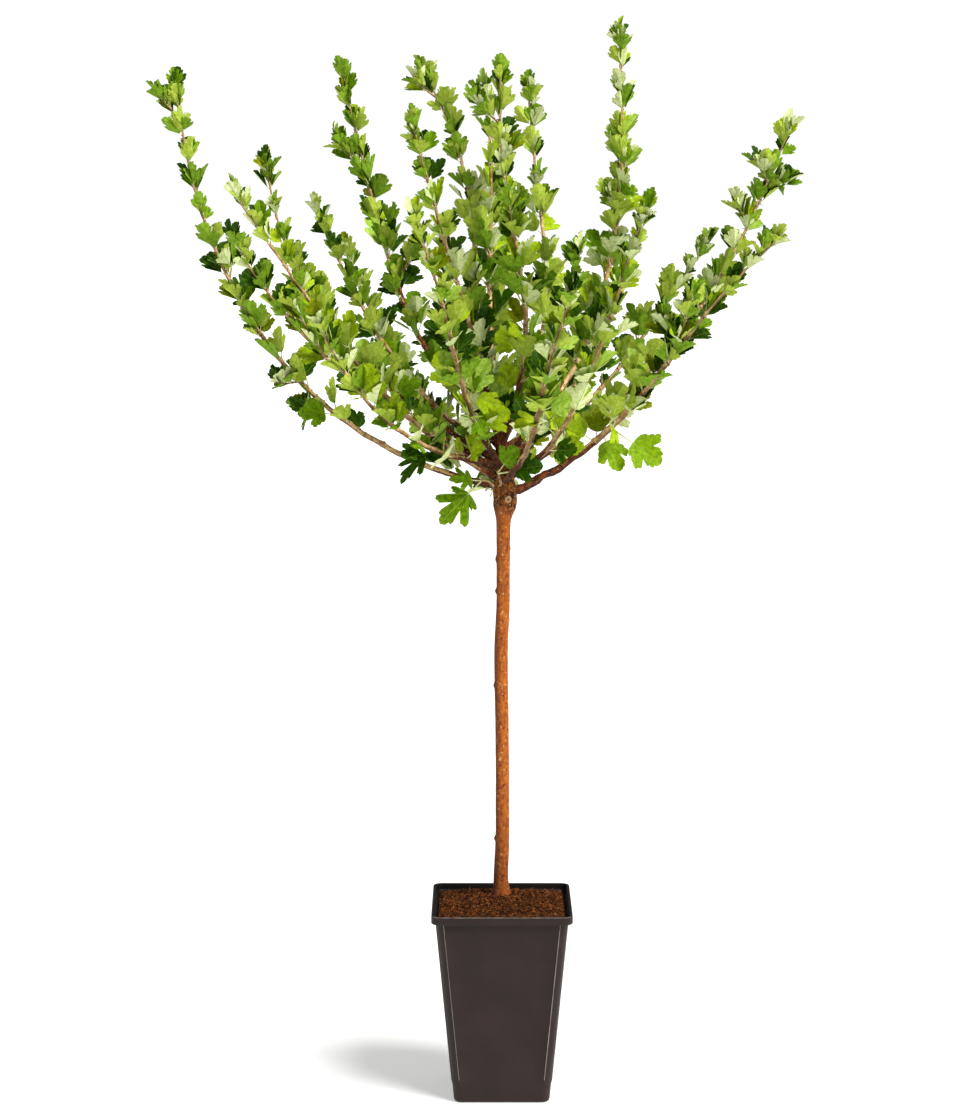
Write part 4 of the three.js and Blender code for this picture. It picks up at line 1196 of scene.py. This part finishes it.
# Ripples in the trunk's bark, and those that only the graft has: size in mm, seed, how fast they run round
# the trunk and along it, and how many waves they are made of.
TRUNK_RIPPLES = [(0.16, 11, 0.8, 0.12, 7), (0.1, 12, 1.6, 0.5, 7), (0.08, 13, 3.5, 1.3, 9)]
GRAFT_RIPPLES = [(0.55, 14, 1.6, 0.25, 7), (0.35, 15, 3, 0.8, 7)]
TRUNK_WIDER = 1.01
GRAFT = dict(height=648, spread=26, bark_from=634)
ROOTS = dict(count=5, size=0.8, fade=9, phase=0.7)  # the ridges of the flare at the trunk's foot
# azimuth, height, how far it stands out, its length and its width round the trunk
KNOTS = [
    (188, 578.5, 1.5, 3.4, 0.34), (186, 544, 1.9, 2.6, 0.32), (184, 441.5, 1.4, 2.8, 0.32),
    (184, 273, 1.7, 2.4, 0.3), (310, 486, 0.8, 2.4, 0.3), (20, 512, 1.0, 2.6, 0.3),
    (60, 395, 1.2, 2.6, 0.3), (95, 560, 1.4, 2.8, 0.32), (330, 352, 0.8, 2.2, 0.3),
    (130, 325, 1.3, 2.8, 0.3), (250, 610, 0.9, 2.6, 0.3), (345, 590, 0.9, 2.2, 0.3),
    (75, 462, 1.1, 2.4, 0.3), (215, 392, 0.7, 2.0, 0.3),
    # the gnarled graft
    (170, 632, 1.2, 9, 0.7), (205, 656, 1.4, 6, 0.5), (350, 638, 1.4, 9, 0.7), (330, 658, 1.6, 5, 0.4),
    (60, 642, 2.2, 9, 0.6), (120, 650, 1.8, 7, 0.5), (250, 634, 0.8, 4, 0.4), (20, 668, 1.6, 6, 0.5),
    (228, 645, 1.0, 3, 0.3), (262, 660, 1.0, 3.5, 0.3), (240, 668, 0.9, 4, 0.25), (318, 640, 0.8, 3, 0.3),
]
station_z, station_radius, station_shift = np.array(STEM_STATIONS).T
levels = np.arange(STEM_FOOT, STEM_TIP + 0.01, TRUNK_STEP)
trunk_points = np.stack([STEM_X + smooth_through(levels, station_z, station_shift),
                         np.full(len(levels), STEM_Y), levels], axis=1)
trunk_radius = smooth_through(levels, station_z, station_radius)[:, None]
_, sides = frame_along(trunk_points)
side = sides[len(levels) // 2]
knots = [(angle_round(towards(azimuth, 0), UP, side), *knot) for azimuth, *knot in KNOTS]
u, v = angles_round(TRUNK_SIDES)[None, :], levels[:, None]
plain, gnarls = [sum(size * ripple(u, v, *form) for size, *form in ripples)
                 for ripples in (TRUNK_RIPPLES, GRAFT_RIPPLES)]
relief = plain + np.exp(-(((v - GRAFT["height"]) / GRAFT["spread"]) ** 2)) * gnarls
relief = relief + knot_relief(u, v, knots)
flare = ROOTS["size"] * np.exp(-((v - STEM_FOOT) / ROOTS["fade"]))
relief = relief + flare * np.sin(ROOTS["count"] * u + ROOTS["phase"])
# the graft's own bark begins at an uneven edge
edge = GRAFT["bark_from"] + 5 * np.sin(3 * u + 1) + 3 * np.sin(7 * u)
trunk = Batch()
trunk.add_tube(trunk_points, trunk_radius * TRUNK_WIDER + relief, np.where(v[:-1] > edge, 2, 0).ravel(), 0, 2)
# the pruned snag on the graft
STUB_SIDES, STUB_STEPS = 28, 22
# Its girth as shares of its radius, with a swelling some way out and at its last two rings; then its bark.
SNAG = dict(girth=1.05, swell=0.25, at=11, spread=3.0, ends=((1.06,), (0.92,)), relief=0.22, end_relief=0.3)
stub_out = unit(towards(STUB["azimuth"], 0) + UP * STUB["slope"])
steps = np.linspace(0, STUB["reach"] + 0.6, STUB_STEPS)[:, None]
swell = SNAG["girth"] + SNAG["swell"] * np.exp(-(((steps - SNAG["at"]) / SNAG["spread"]) ** 2))
swell[-2:] = SNAG["ends"]
relief = SNAG["relief"] * ripple(angles_round(STUB_SIDES)[None, :], steps, 21, 1.5, 0.8)
relief[-2:] *= SNAG["end_relief"]
stub_points = np.array([STEM_X, STEM_Y, STUB["height"]]) + steps * stub_out
rings = rings_about(stub_points, STUB["radius"] * swell + relief, *frame_along(stub_points))
trunk.add(rings.reshape(-1, 3), [quads_between(STUB_STEPS, STUB_SIDES)], [2])
# the growth rings on its pale cut face, and the darker heart
HEART = 0.5
CUT_RINGS = np.array([0.92, 0.86, 0.8, 0.66, 0.6, 0.46, 0.4, 0.24, 0.16, 0.02])
CUT_DEPTHS = np.array([0.0, -0.15, -0.5, -0.42, -0.5, -0.44, -0.52, -0.46, -0.6, -0.62])
count = len(CUT_RINGS)
along, across = [np.tile(way, (count, 1)) for way in (stub_out, unit(np.cross(stub_out, UP)))]
radii = np.repeat(CUT_RINGS[:, None] * STUB["radius"], STUB_SIDES, axis=1)
rings = rings_about(stub_points[-1] + CUT_DEPTHS[:, None] * stub_out, radii, along, across)
heart_cap = (STUB_SIDES * (count - 1) + np.arange(STUB_SIDES))[None, :]
ring_slots = np.repeat(np.where(CUT_RINGS[:-1] > HEART, 1, 3), STUB_SIDES)
trunk.add(rings.reshape(-1, 3), [quads_between(count, STUB_SIDES), heart_cap], [ring_slots, 3])
trunk_piece = trunk.build("trunk", [BARK_TRUNK, CUT_WOOD, BARK_GRAFT, CUT_HEART], sharp=80)
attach(trunk_piece, "root")
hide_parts("stem")

# Spines and buds at the nodes. Their places and radii along a tube are for the oldest node.
SPINE_PLACES, SPINE_RADII = np.array([[0], [0.45], [1]]), np.array([[0.42], [0.24], [0.05]])
BUD_PLACES = np.array([[0], [0.6], [1.5], [2.4], [3.1]])
BUD_RADII = np.array([[0.55], [0.85], [0.8], [0.45], [0.08]])
BARE_FROM = 0.93  # the age from which a node bears neither
# Spines stand side by side, apart degrees round the shoot, and lean back along it. Seat is how far out from
# the shoot's middle they start, as a share of its radius, and size is for the oldest and the youngest node.
PRICKS = dict(chance=0.75, more=2.6, apart=55, apart_jitter=14, lean=0.25, lean_jitter=0.3,
              length=(4.0, 8.5), back=1.2, seat=0.6, size=(1.05, 0.6))
BUDS = dict(lean=0.8, above=1.5, seat=0.7, size=(1.0, 0.6))
spines, buds = Batch(), Batch()
prick = RandomSource(77)
for node in nodes:
    if node["age"] > BARE_FROM:
        continue
    count = 1 + int(prick() * PRICKS["more"]) if prick() < PRICKS["chance"] else 0
    axis, out, radius = node["along"], node["out"], node["radius"]
    for i in range(count):
        swing = (i - (count - 1) / 2) * PRICKS["apart"] + prick.jitter(PRICKS["apart_jitter"])
        way = turned(out, axis, swing)
        way = unit(way - axis * PRICKS["lean"] + axis * prick.jitter(PRICKS["lean_jitter"]))
        length = prick.between(*PRICKS["length"]) * mix(*PRICKS["size"], node["age"])
        foot = node["point"] + way * radius * PRICKS["seat"] - axis * PRICKS["back"]
        line = foot + way * (length + radius * (1 - PRICKS["seat"])) * SPINE_PLACES
        spines.add_tube(line, np.repeat(SPINE_RADII, 4, axis=1))
    way = unit(out + axis * BUDS["lean"])
    foot = node["point"] + out * radius * BUDS["seat"] + axis * BUDS["above"]
    size = mix(*BUDS["size"], node["age"])
    buds.add_tube(foot + way * BUD_PLACES * size, np.repeat(BUD_RADII * size, 6, axis=1))
for piece in (spines.build("spines", [SPINE]), buds.build("buds", [BUD])):
    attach(piece, "root")


# ---- pot
SHOULDER = POT["height"] - POT["collar"]


def wall_half(z):
    """Half the width of the pot's wall, outside, at a height."""
    return mix(POT["foot_half"], POT["wall_half"], (z - POT["foot_round"]) / (SHOULDER - POT["foot_round"]))


def corner_at(z):
    return mix(POT["foot_corner"], POT["rim_corner"], z / POT["height"])


# The raised line beside each corner, inset from the pot's side. It rises out of the wall from foot to top.
BEAD = dict(inset=8.5, height=0.9, width=0.8, foot=19, top=25)
BEAD_OFFSETS = (-1.5, -1.0, -0.6, -0.2, 0.2, 0.6, 1.0, 1.5)  # points across it, in widths
BEAD_CREST = (6, 7)  # the places in a quarter ring of the faces on either side of its middle
HIGHLIGHT_ROWS = (10, 30)  # the rows of the outline between which the crests carry the painted highlight
QUARTER_TURN = [degrees * DEG for degrees in (0, 22, 45, 67, 90)]
# The collar's outside above the shoulder: how far it lies inside the rim, and how far up.
COLLAR_PROFILE = ((4.9, 0.1), (1.4, 0.12), (0.5, 0.35), (0.1, 0.9), (0.0, 1.6), (0, 3), (0, 5), (0, 7))


def pot_ring(half, corner, z, bead=0.0):
    """A level rounded square with a raised bead, bead high, on both sides of each corner."""
    flat = half - corner
    bend = corner * math.pi / 2
    start = max(corner - BEAD["inset"], 0.0) * 1.04
    # places along a quarter of the outline, measured from where its bend begins
    places = [-flat, -0.66 * flat, -0.33 * flat]
    places += [start + step * BEAD["width"] for step in BEAD_OFFSETS]
    mirrored = [bend - place for place in places[:0:-1]]
    places += [bend * share for share in (0.3, 0.4, 0.5, 0.6, 0.7)] + mirrored
    ring = []
    for turn in range(4):
        for place in places:
            if place < 0:
                point, out = np.array([half, flat + place]), np.array([1.0, 0.0])
            elif place > bend:
                point, out = np.array([flat - (place - bend), half]), np.array([0.0, 1.0])
            else:
                out = towards(place / corner / DEG, 0)[:2]
                point = np.array([flat, flat]) + corner * out
            nearest = min(abs(place - start), abs(bend - place - start))
            point = point + out * bead * math.exp(-((nearest / BEAD["width"]) ** 2))
            c, s = round(math.cos(turn * 90 * DEG)), round(math.sin(turn * 90 * DEG))
            ring.append((c * point[0] - s * point[1], s * point[0] + c * point[1], z))
    return np.array(ring)


def pot_rows():
    """The pot's outline from its foot up over the rim and down inside: rows of half, corner, height, bead."""
    height, foot, rim, corner = POT["height"], POT["foot_half"], POT["rim_half"], POT["rim_corner"]
    soft, high = POT["foot_round"], BEAD["height"]
    rows = [(foot - soft * (1 - math.sin(a)), 6.0 + soft * math.sin(a), soft - soft * math.cos(a))
            for a in QUARTER_TURN]
    walls = [(z, 0.0) for z in (8, 14, BEAD["foot"])]
    walls += [(z, high * (z - BEAD["foot"]) / (BEAD["top"] - BEAD["foot"])) for z in (20.5, 22, 24)]
    walls += [(z, high) for z in np.linspace(26, SHOULDER - 2, 18)]
    rows += [(wall_half(z), corner_at(z), z, bead) for z, bead in walls]
    rows.append((wall_half(SHOULDER - 0.5), corner_at(SHOULDER), SHOULDER - 0.5, high * 0.6))
    for inset, z in COLLAR_PROFILE:
        rows.append((rim - inset, corner - min(inset, 1), SHOULDER + z))
    rows += [(rim - 1 + math.cos(a), corner - 1 + math.cos(a), height - 1 + math.sin(a))
             for a in QUARTER_TURN]
    inside_from = len(rows)
    rows += [(rim - 2.9 - 0.8 * math.cos(a), corner - 3.0, height - 0.8 + 0.8 * math.sin(a))
             for a in QUARTER_TURN[::-1]]
    rows.append((rim - 3.7, corner - 3.5, SHOULDER + 3))
    rows.append((wall_half(SHOULDER - 1) - POT["wall"], corner - 3.5, SHOULDER - 1))
    rows += [(wall_half(z) - POT["wall"], corner_at(z) - 2, z) for z in (150, 80, 30, 6)]
    rows.append((wall_half(4) - POT["wall"] - 1.5, corner_at(4) - 3, POT["floor"]))
    return rows, inside_from


def build_pot():
    rows, inside_from = pot_rows()
    rings = [pot_ring(*row) for row in rows]
    n = len(rings[0])
    row, place = np.meshgrid(np.arange(len(rows) - 1), np.arange(n) % (n // 4), indexing="ij")
    # the crests of the beads carry a painted highlight, and the rim's upper edge is dusty pale
    on_crest = np.isin(place, [*BEAD_CREST, *(n // 4 - 2 - crest for crest in BEAD_CREST)])
    has_painted_highlight = on_crest & (row > HIGHLIGHT_ROWS[0]) & (row < HIGHLIGHT_ROWS[1])
    # the inside takes the near-black plastic, which is painted shade
    slots = np.where(row >= inside_from - 1, 2, np.where(has_painted_highlight, 1, 0))
    slots = np.where((row == inside_from - 4) | (row == inside_from - 3), 3, slots).ravel()
    foot_cap = np.arange(n)[::-1][None, :]
    floor_cap = ((len(rows) - 1) * n + np.arange(n))[None, :]
    batch = Batch()
    batch.add(np.concatenate(rings), [quads_between(len(rows), n), foot_cap, floor_cap], [slots, 0, 2])
    pot = batch.build("pot_shell", PLASTIC, sharp=40)
    # the drain holes
    cutters = Batch()
    for x in (-1, 1):
        for y in (-1, 1):
            middle = np.array([x * POT["drain_spacing"], y * POT["drain_spacing"], 0.0])
            line = np.array([middle - UP * 5, middle + UP * (POT["floor"] + 5)])
            cutters.add_tube(line, np.full((2, 32), float(POT["drain_radius"])))
    cutter = cutters.build("drain_cutter", PLASTIC[:1], smooth=False)
    cut = pot.modifiers.new("drains", "BOOLEAN")
    cut.operation = "DIFFERENCE"
    cut.solver = "EXACT"
    cut.object = cutter
    made = bpy.data.meshes.new_from_object(pot.evaluated_get(bpy.context.evaluated_depsgraph_get()))
    pot.modifiers.clear()
    pot.data = made
    bpy.data.objects.remove(cutter)
    return pot


pot = build_pot()
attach(pot, "root")
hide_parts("pot")

# ---- compost
SOIL_LEVEL = POT["height"] - SOIL_SINK
SOIL_CREST = STEM_FOOT - 0.3
SOIL_HALF = wall_half(SOIL_LEVEL) - POT["wall"] - 0.3
SOIL_CORNER = 8.0
SOIL_GRID = 130
LUMPS = ((2.2, 9, 1), (1.6, 3.6, 2), (0.9, 1.7, 3))  # the compost's: height, size and seed
SKIRT = dict(depth=14, draw=0.985)  # the bed's sides, which run down inside the pot
# The mound's contours: width as a share of the pot's, taken as negative, then how far each one rises to the
# foot of the stem and how far it is shifted towards it, as shares.
MOUND_WIDTHS, MOUND_RISES, MOUND_SHIFTS = (-1.0, -0.66, -0.36, -0.18), (0, 0.45, 0.85, 1), (0, 0.4, 0.8, 1)


def soil_height(x, y):
    """Height of the compost, which rises to the foot of the trunk."""
    share = np.ones_like(x)
    # how far out, as a share, allowing for the shift of the rings towards the stem
    for _ in range(6):
        shift = np.interp(-share, MOUND_WIDTHS, MOUND_SHIFTS)
        dx, dy = np.abs(x - STEM_X * shift), np.abs(y - STEM_Y * shift)
        share = np.clip((dx**6 + dy**6) ** (1 / 6) / SOIL_HALF, 0, 1)
    return SOIL_LEVEL + (SOIL_CREST - SOIL_LEVEL) * np.interp(-share, MOUND_WIDTHS, MOUND_RISES)


def lattice_noise(x, y, size, seed):
    """Value noise over the plane with cells of one size, 0 to 1."""
    table = np.random.default_rng(seed).random((64, 64))
    fx, fy = x / size + 32, y / size + 32
    ix, iy = np.floor(fx).astype(int), np.floor(fy).astype(int)
    tx, ty = fx - ix, fy - iy
    tx, ty = tx * tx * (3 - 2 * tx), ty * ty * (3 - 2 * ty)
    a, b, c, d = [table[(ix + i) % 64, (iy + j) % 64] for i, j in ((0, 0), (1, 0), (0, 1), (1, 1))]
    return (a * (1 - tx) + b * tx) * (1 - ty) + (c * (1 - tx) + d * tx) * ty


across = np.linspace(-1, 1, SOIL_GRID) * SOIL_HALF
px, py = np.meshgrid(across, across, indexing="ij")
# the grid's corners are rounded as the pot's are
straight = SOIL_HALF - SOIL_CORNER
over_x, over_y = np.abs(px) - straight, np.abs(py) - straight
outside = np.hypot(np.clip(over_x, 0, None), np.clip(over_y, 0, None))
pull = np.where(outside > SOIL_CORNER, SOIL_CORNER / np.maximum(outside, 1e-6), 1.0)
px = np.where(over_x > 0, np.sign(px) * (straight + over_x * np.where(over_y > 0, pull, 1)), px)
py = np.where(over_y > 0, np.sign(py) * (straight + over_y * np.where(over_x > 0, pull, 1)), py)
smooth = soil_height(px, py)
pz = smooth
for height, size, seed in LUMPS:
    pz = pz + height * (lattice_noise(px, py, size, seed) - 0.5)
pz = np.minimum(pz, smooth + 1.4) - 0.6
top = np.stack([px, py, pz], axis=2).reshape(-1, 3)
index = np.arange(SOIL_GRID * SOIL_GRID).reshape(SOIL_GRID, SOIL_GRID)
quads = np.stack([index[:-1, :-1], index[1:, :-1], index[1:, 1:], index[:-1, 1:]], axis=2).reshape(-1, 4)
edge_loop = np.concatenate([index[:, 0], index[-1, 1:], index[-2::-1, -1], index[0, -2:0:-1]])
skirt = top[edge_loop] * [SKIRT["draw"], SKIRT["draw"], 0] + UP * (SOIL_LEVEL - SKIRT["depth"])
low = len(top) + np.arange(len(edge_loop))
wall = np.stack([edge_loop, low, np.roll(low, -1), np.roll(edge_loop, -1)], axis=1)
soil = Batch()
soil.add(np.concatenate([top, skirt]), [quads, wall, low[::-1][None, :]], [0, 0, 0])
soil_piece = soil.build("compost_bed", [COMPOST], sharp=60)
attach(soil_piece, "root")
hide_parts("soil")


def turned_about(shape, axis, angle):
    """A shape's points turned about one of the axes, 0 to 2."""
    c, s = math.cos(angle), math.sin(angle)
    a, b = (axis + 1) % 3, (axis + 2) % 3
    matrix = np.eye(3)
    matrix[a, a], matrix[a, b], matrix[b, a], matrix[b, b] = c, s, -s, c
    return shape @ matrix


CHIP_COUNT = 2600
# How far the chips keep from the middle of the trunk, and how far their middles and they themselves keep
# from the pot's wall; how much they are out of square, tapered and tilted; and how they lie on the compost.
CHIP = dict(bare=10.5, inset=2.5, wall=0.4, crumple=(0.72, 1.1), taper=(0.4, 1), tilt=0.3, lie=(-0.4, 0.7))
chip_box = np.array([[x, y, z] for x in (-1, 1) for y in (-1, 1) for z in (-1, 1)], float)
CHIP_FACES = np.array([[0, 1, 3, 2], [4, 6, 7, 5], [0, 4, 5, 1], [2, 3, 7, 6], [0, 2, 6, 4], [1, 5, 7, 3]])
# the least and greatest half length, width and thickness of a fibre and of a flake
FIBRE = (2.5, 6.5), (0.22, 0.5), (0.18, 0.4)
FLAKE = (0.9, 2.8), (0.6, 1.7), (0.3, 0.9)
chips = Batch()
crumb = np.random.default_rng(5)
for _ in range(CHIP_COUNT):
    x, y = crumb.uniform(-1, 1, 2) * (SOIL_HALF - CHIP["inset"])
    if math.hypot(x - STEM_X, y - STEM_Y) < CHIP["bare"]:
        continue
    kind = FIBRE if crumb.random() < 0.5 else FLAKE
    size = np.array([crumb.uniform(*limits) for limits in kind])
    shape = chip_box * size * crumb.uniform(*CHIP["crumple"], (8, 3))
    shape[:4] *= crumb.uniform(*CHIP["taper"])
    tilt, spin, roll = crumb.normal(0, CHIP["tilt"]), crumb.uniform(0, 6.28), crumb.uniform(0, 6.28)
    for axis, angle in ((0, roll), (1, -tilt), (2, spin)):
        shape = turned_about(shape, axis, angle)
    z = float(soil_height(np.array([x]), np.array([y]))[0]) + crumb.uniform(*CHIP["lie"])
    shape = shape + [x, y, z]
    limit = SOIL_HALF - CHIP["wall"]
    shape[:, :2] = np.clip(shape[:, :2], -limit, limit)
    slot = crumb.choice(len(CHIP_KINDS), p=[share for *_, share in CHIP_KINDS.values()])
    chips.add(shape, [CHIP_FACES], [slot])
chip_piece = chips.build("bark_chips", CHIPS, smooth=False)
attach(chip_piece, "root")

# ---- stage: floor, light and camera
FLOOR_REACH, FLOOR_DROP = 30.0, 0.0004  # in metres
WHITE = (1.0, 1.0, 1.0, 1.0)
floor_mesh = bpy.data.meshes.new("floor")
corners = ((-1, -1), (1, -1), (1, 1), (-1, 1))
floor_mesh.from_pydata([(x * FLOOR_REACH, y * FLOOR_REACH, 0) for x, y in corners], [], [(0, 1, 2, 3)])
floor = linked("floor", floor_mesh)
floor.location.z = -FLOOR_DROP
floor_paint = material("floor_paint", 0xE4E4E2, 0xE8E8E6, 0.8, 3, low=0.2, high=0.8, specular=0.2)
feed(shader_of(floor_paint), {"Emission Color": WHITE, "Emission Strength": 0.42})
floor_mesh.materials.append(floor_paint)

# The camera sees a plain white surround, and the plant is lit by a dimmer one.
world = bpy.data.worlds.new("studio")
bpy.context.scene.world = world
world.use_nodes = True
tree = world.node_tree
tree.nodes.clear()
output = tree.nodes.new("ShaderNodeOutputWorld")
ambient, seen = [node_in(tree, "Background", {"Color": WHITE, "Strength": strength}).outputs["Background"]
                 for strength in (0.24, 1.05)]
is_camera = node_in(tree, "LightPath", {}).outputs["Is Camera Ray"]
choose = node_in(tree, "MixShader", {"Fac": is_camera, 1: ambient, 2: seen})
tree.links.new(choose.outputs["Shader"], output.inputs["Surface"])


def sun(name, azimuth, elevation, strength, angle):
    lamp = bpy.data.lights.new(name, "SUN")
    lamp.energy = strength
    lamp.angle = angle * DEG
    linked(name, lamp).rotation_euler = ((90 - elevation) * DEG, 0, azimuth * DEG)


sun("key", 50, 48, 4.4, 28)
sun("fill", -50, 20, 0.2, 60)

CAMERA = dict(x=-18.0, y=-3000.0, z=986.0, pitch=7.56, focal=2848.0, long_side=1106.0, sensor=36.0)
lens = bpy.data.cameras.new("camera")
lens.sensor_width = CAMERA["sensor"]
lens.lens = CAMERA["focal"] * CAMERA["sensor"] / CAMERA["long_side"]
lens.clip_end = 100
camera = linked("camera", lens)
camera.location = (CAMERA["x"] * MM, CAMERA["y"] * MM, CAMERA["z"] * MM)
camera.rotation_euler = ((90 - CAMERA["pitch"]) * DEG, 0, 0)
bpy.context.scene.camera = camera
bpy.context.scene.view_settings.view_transform = "Standard"
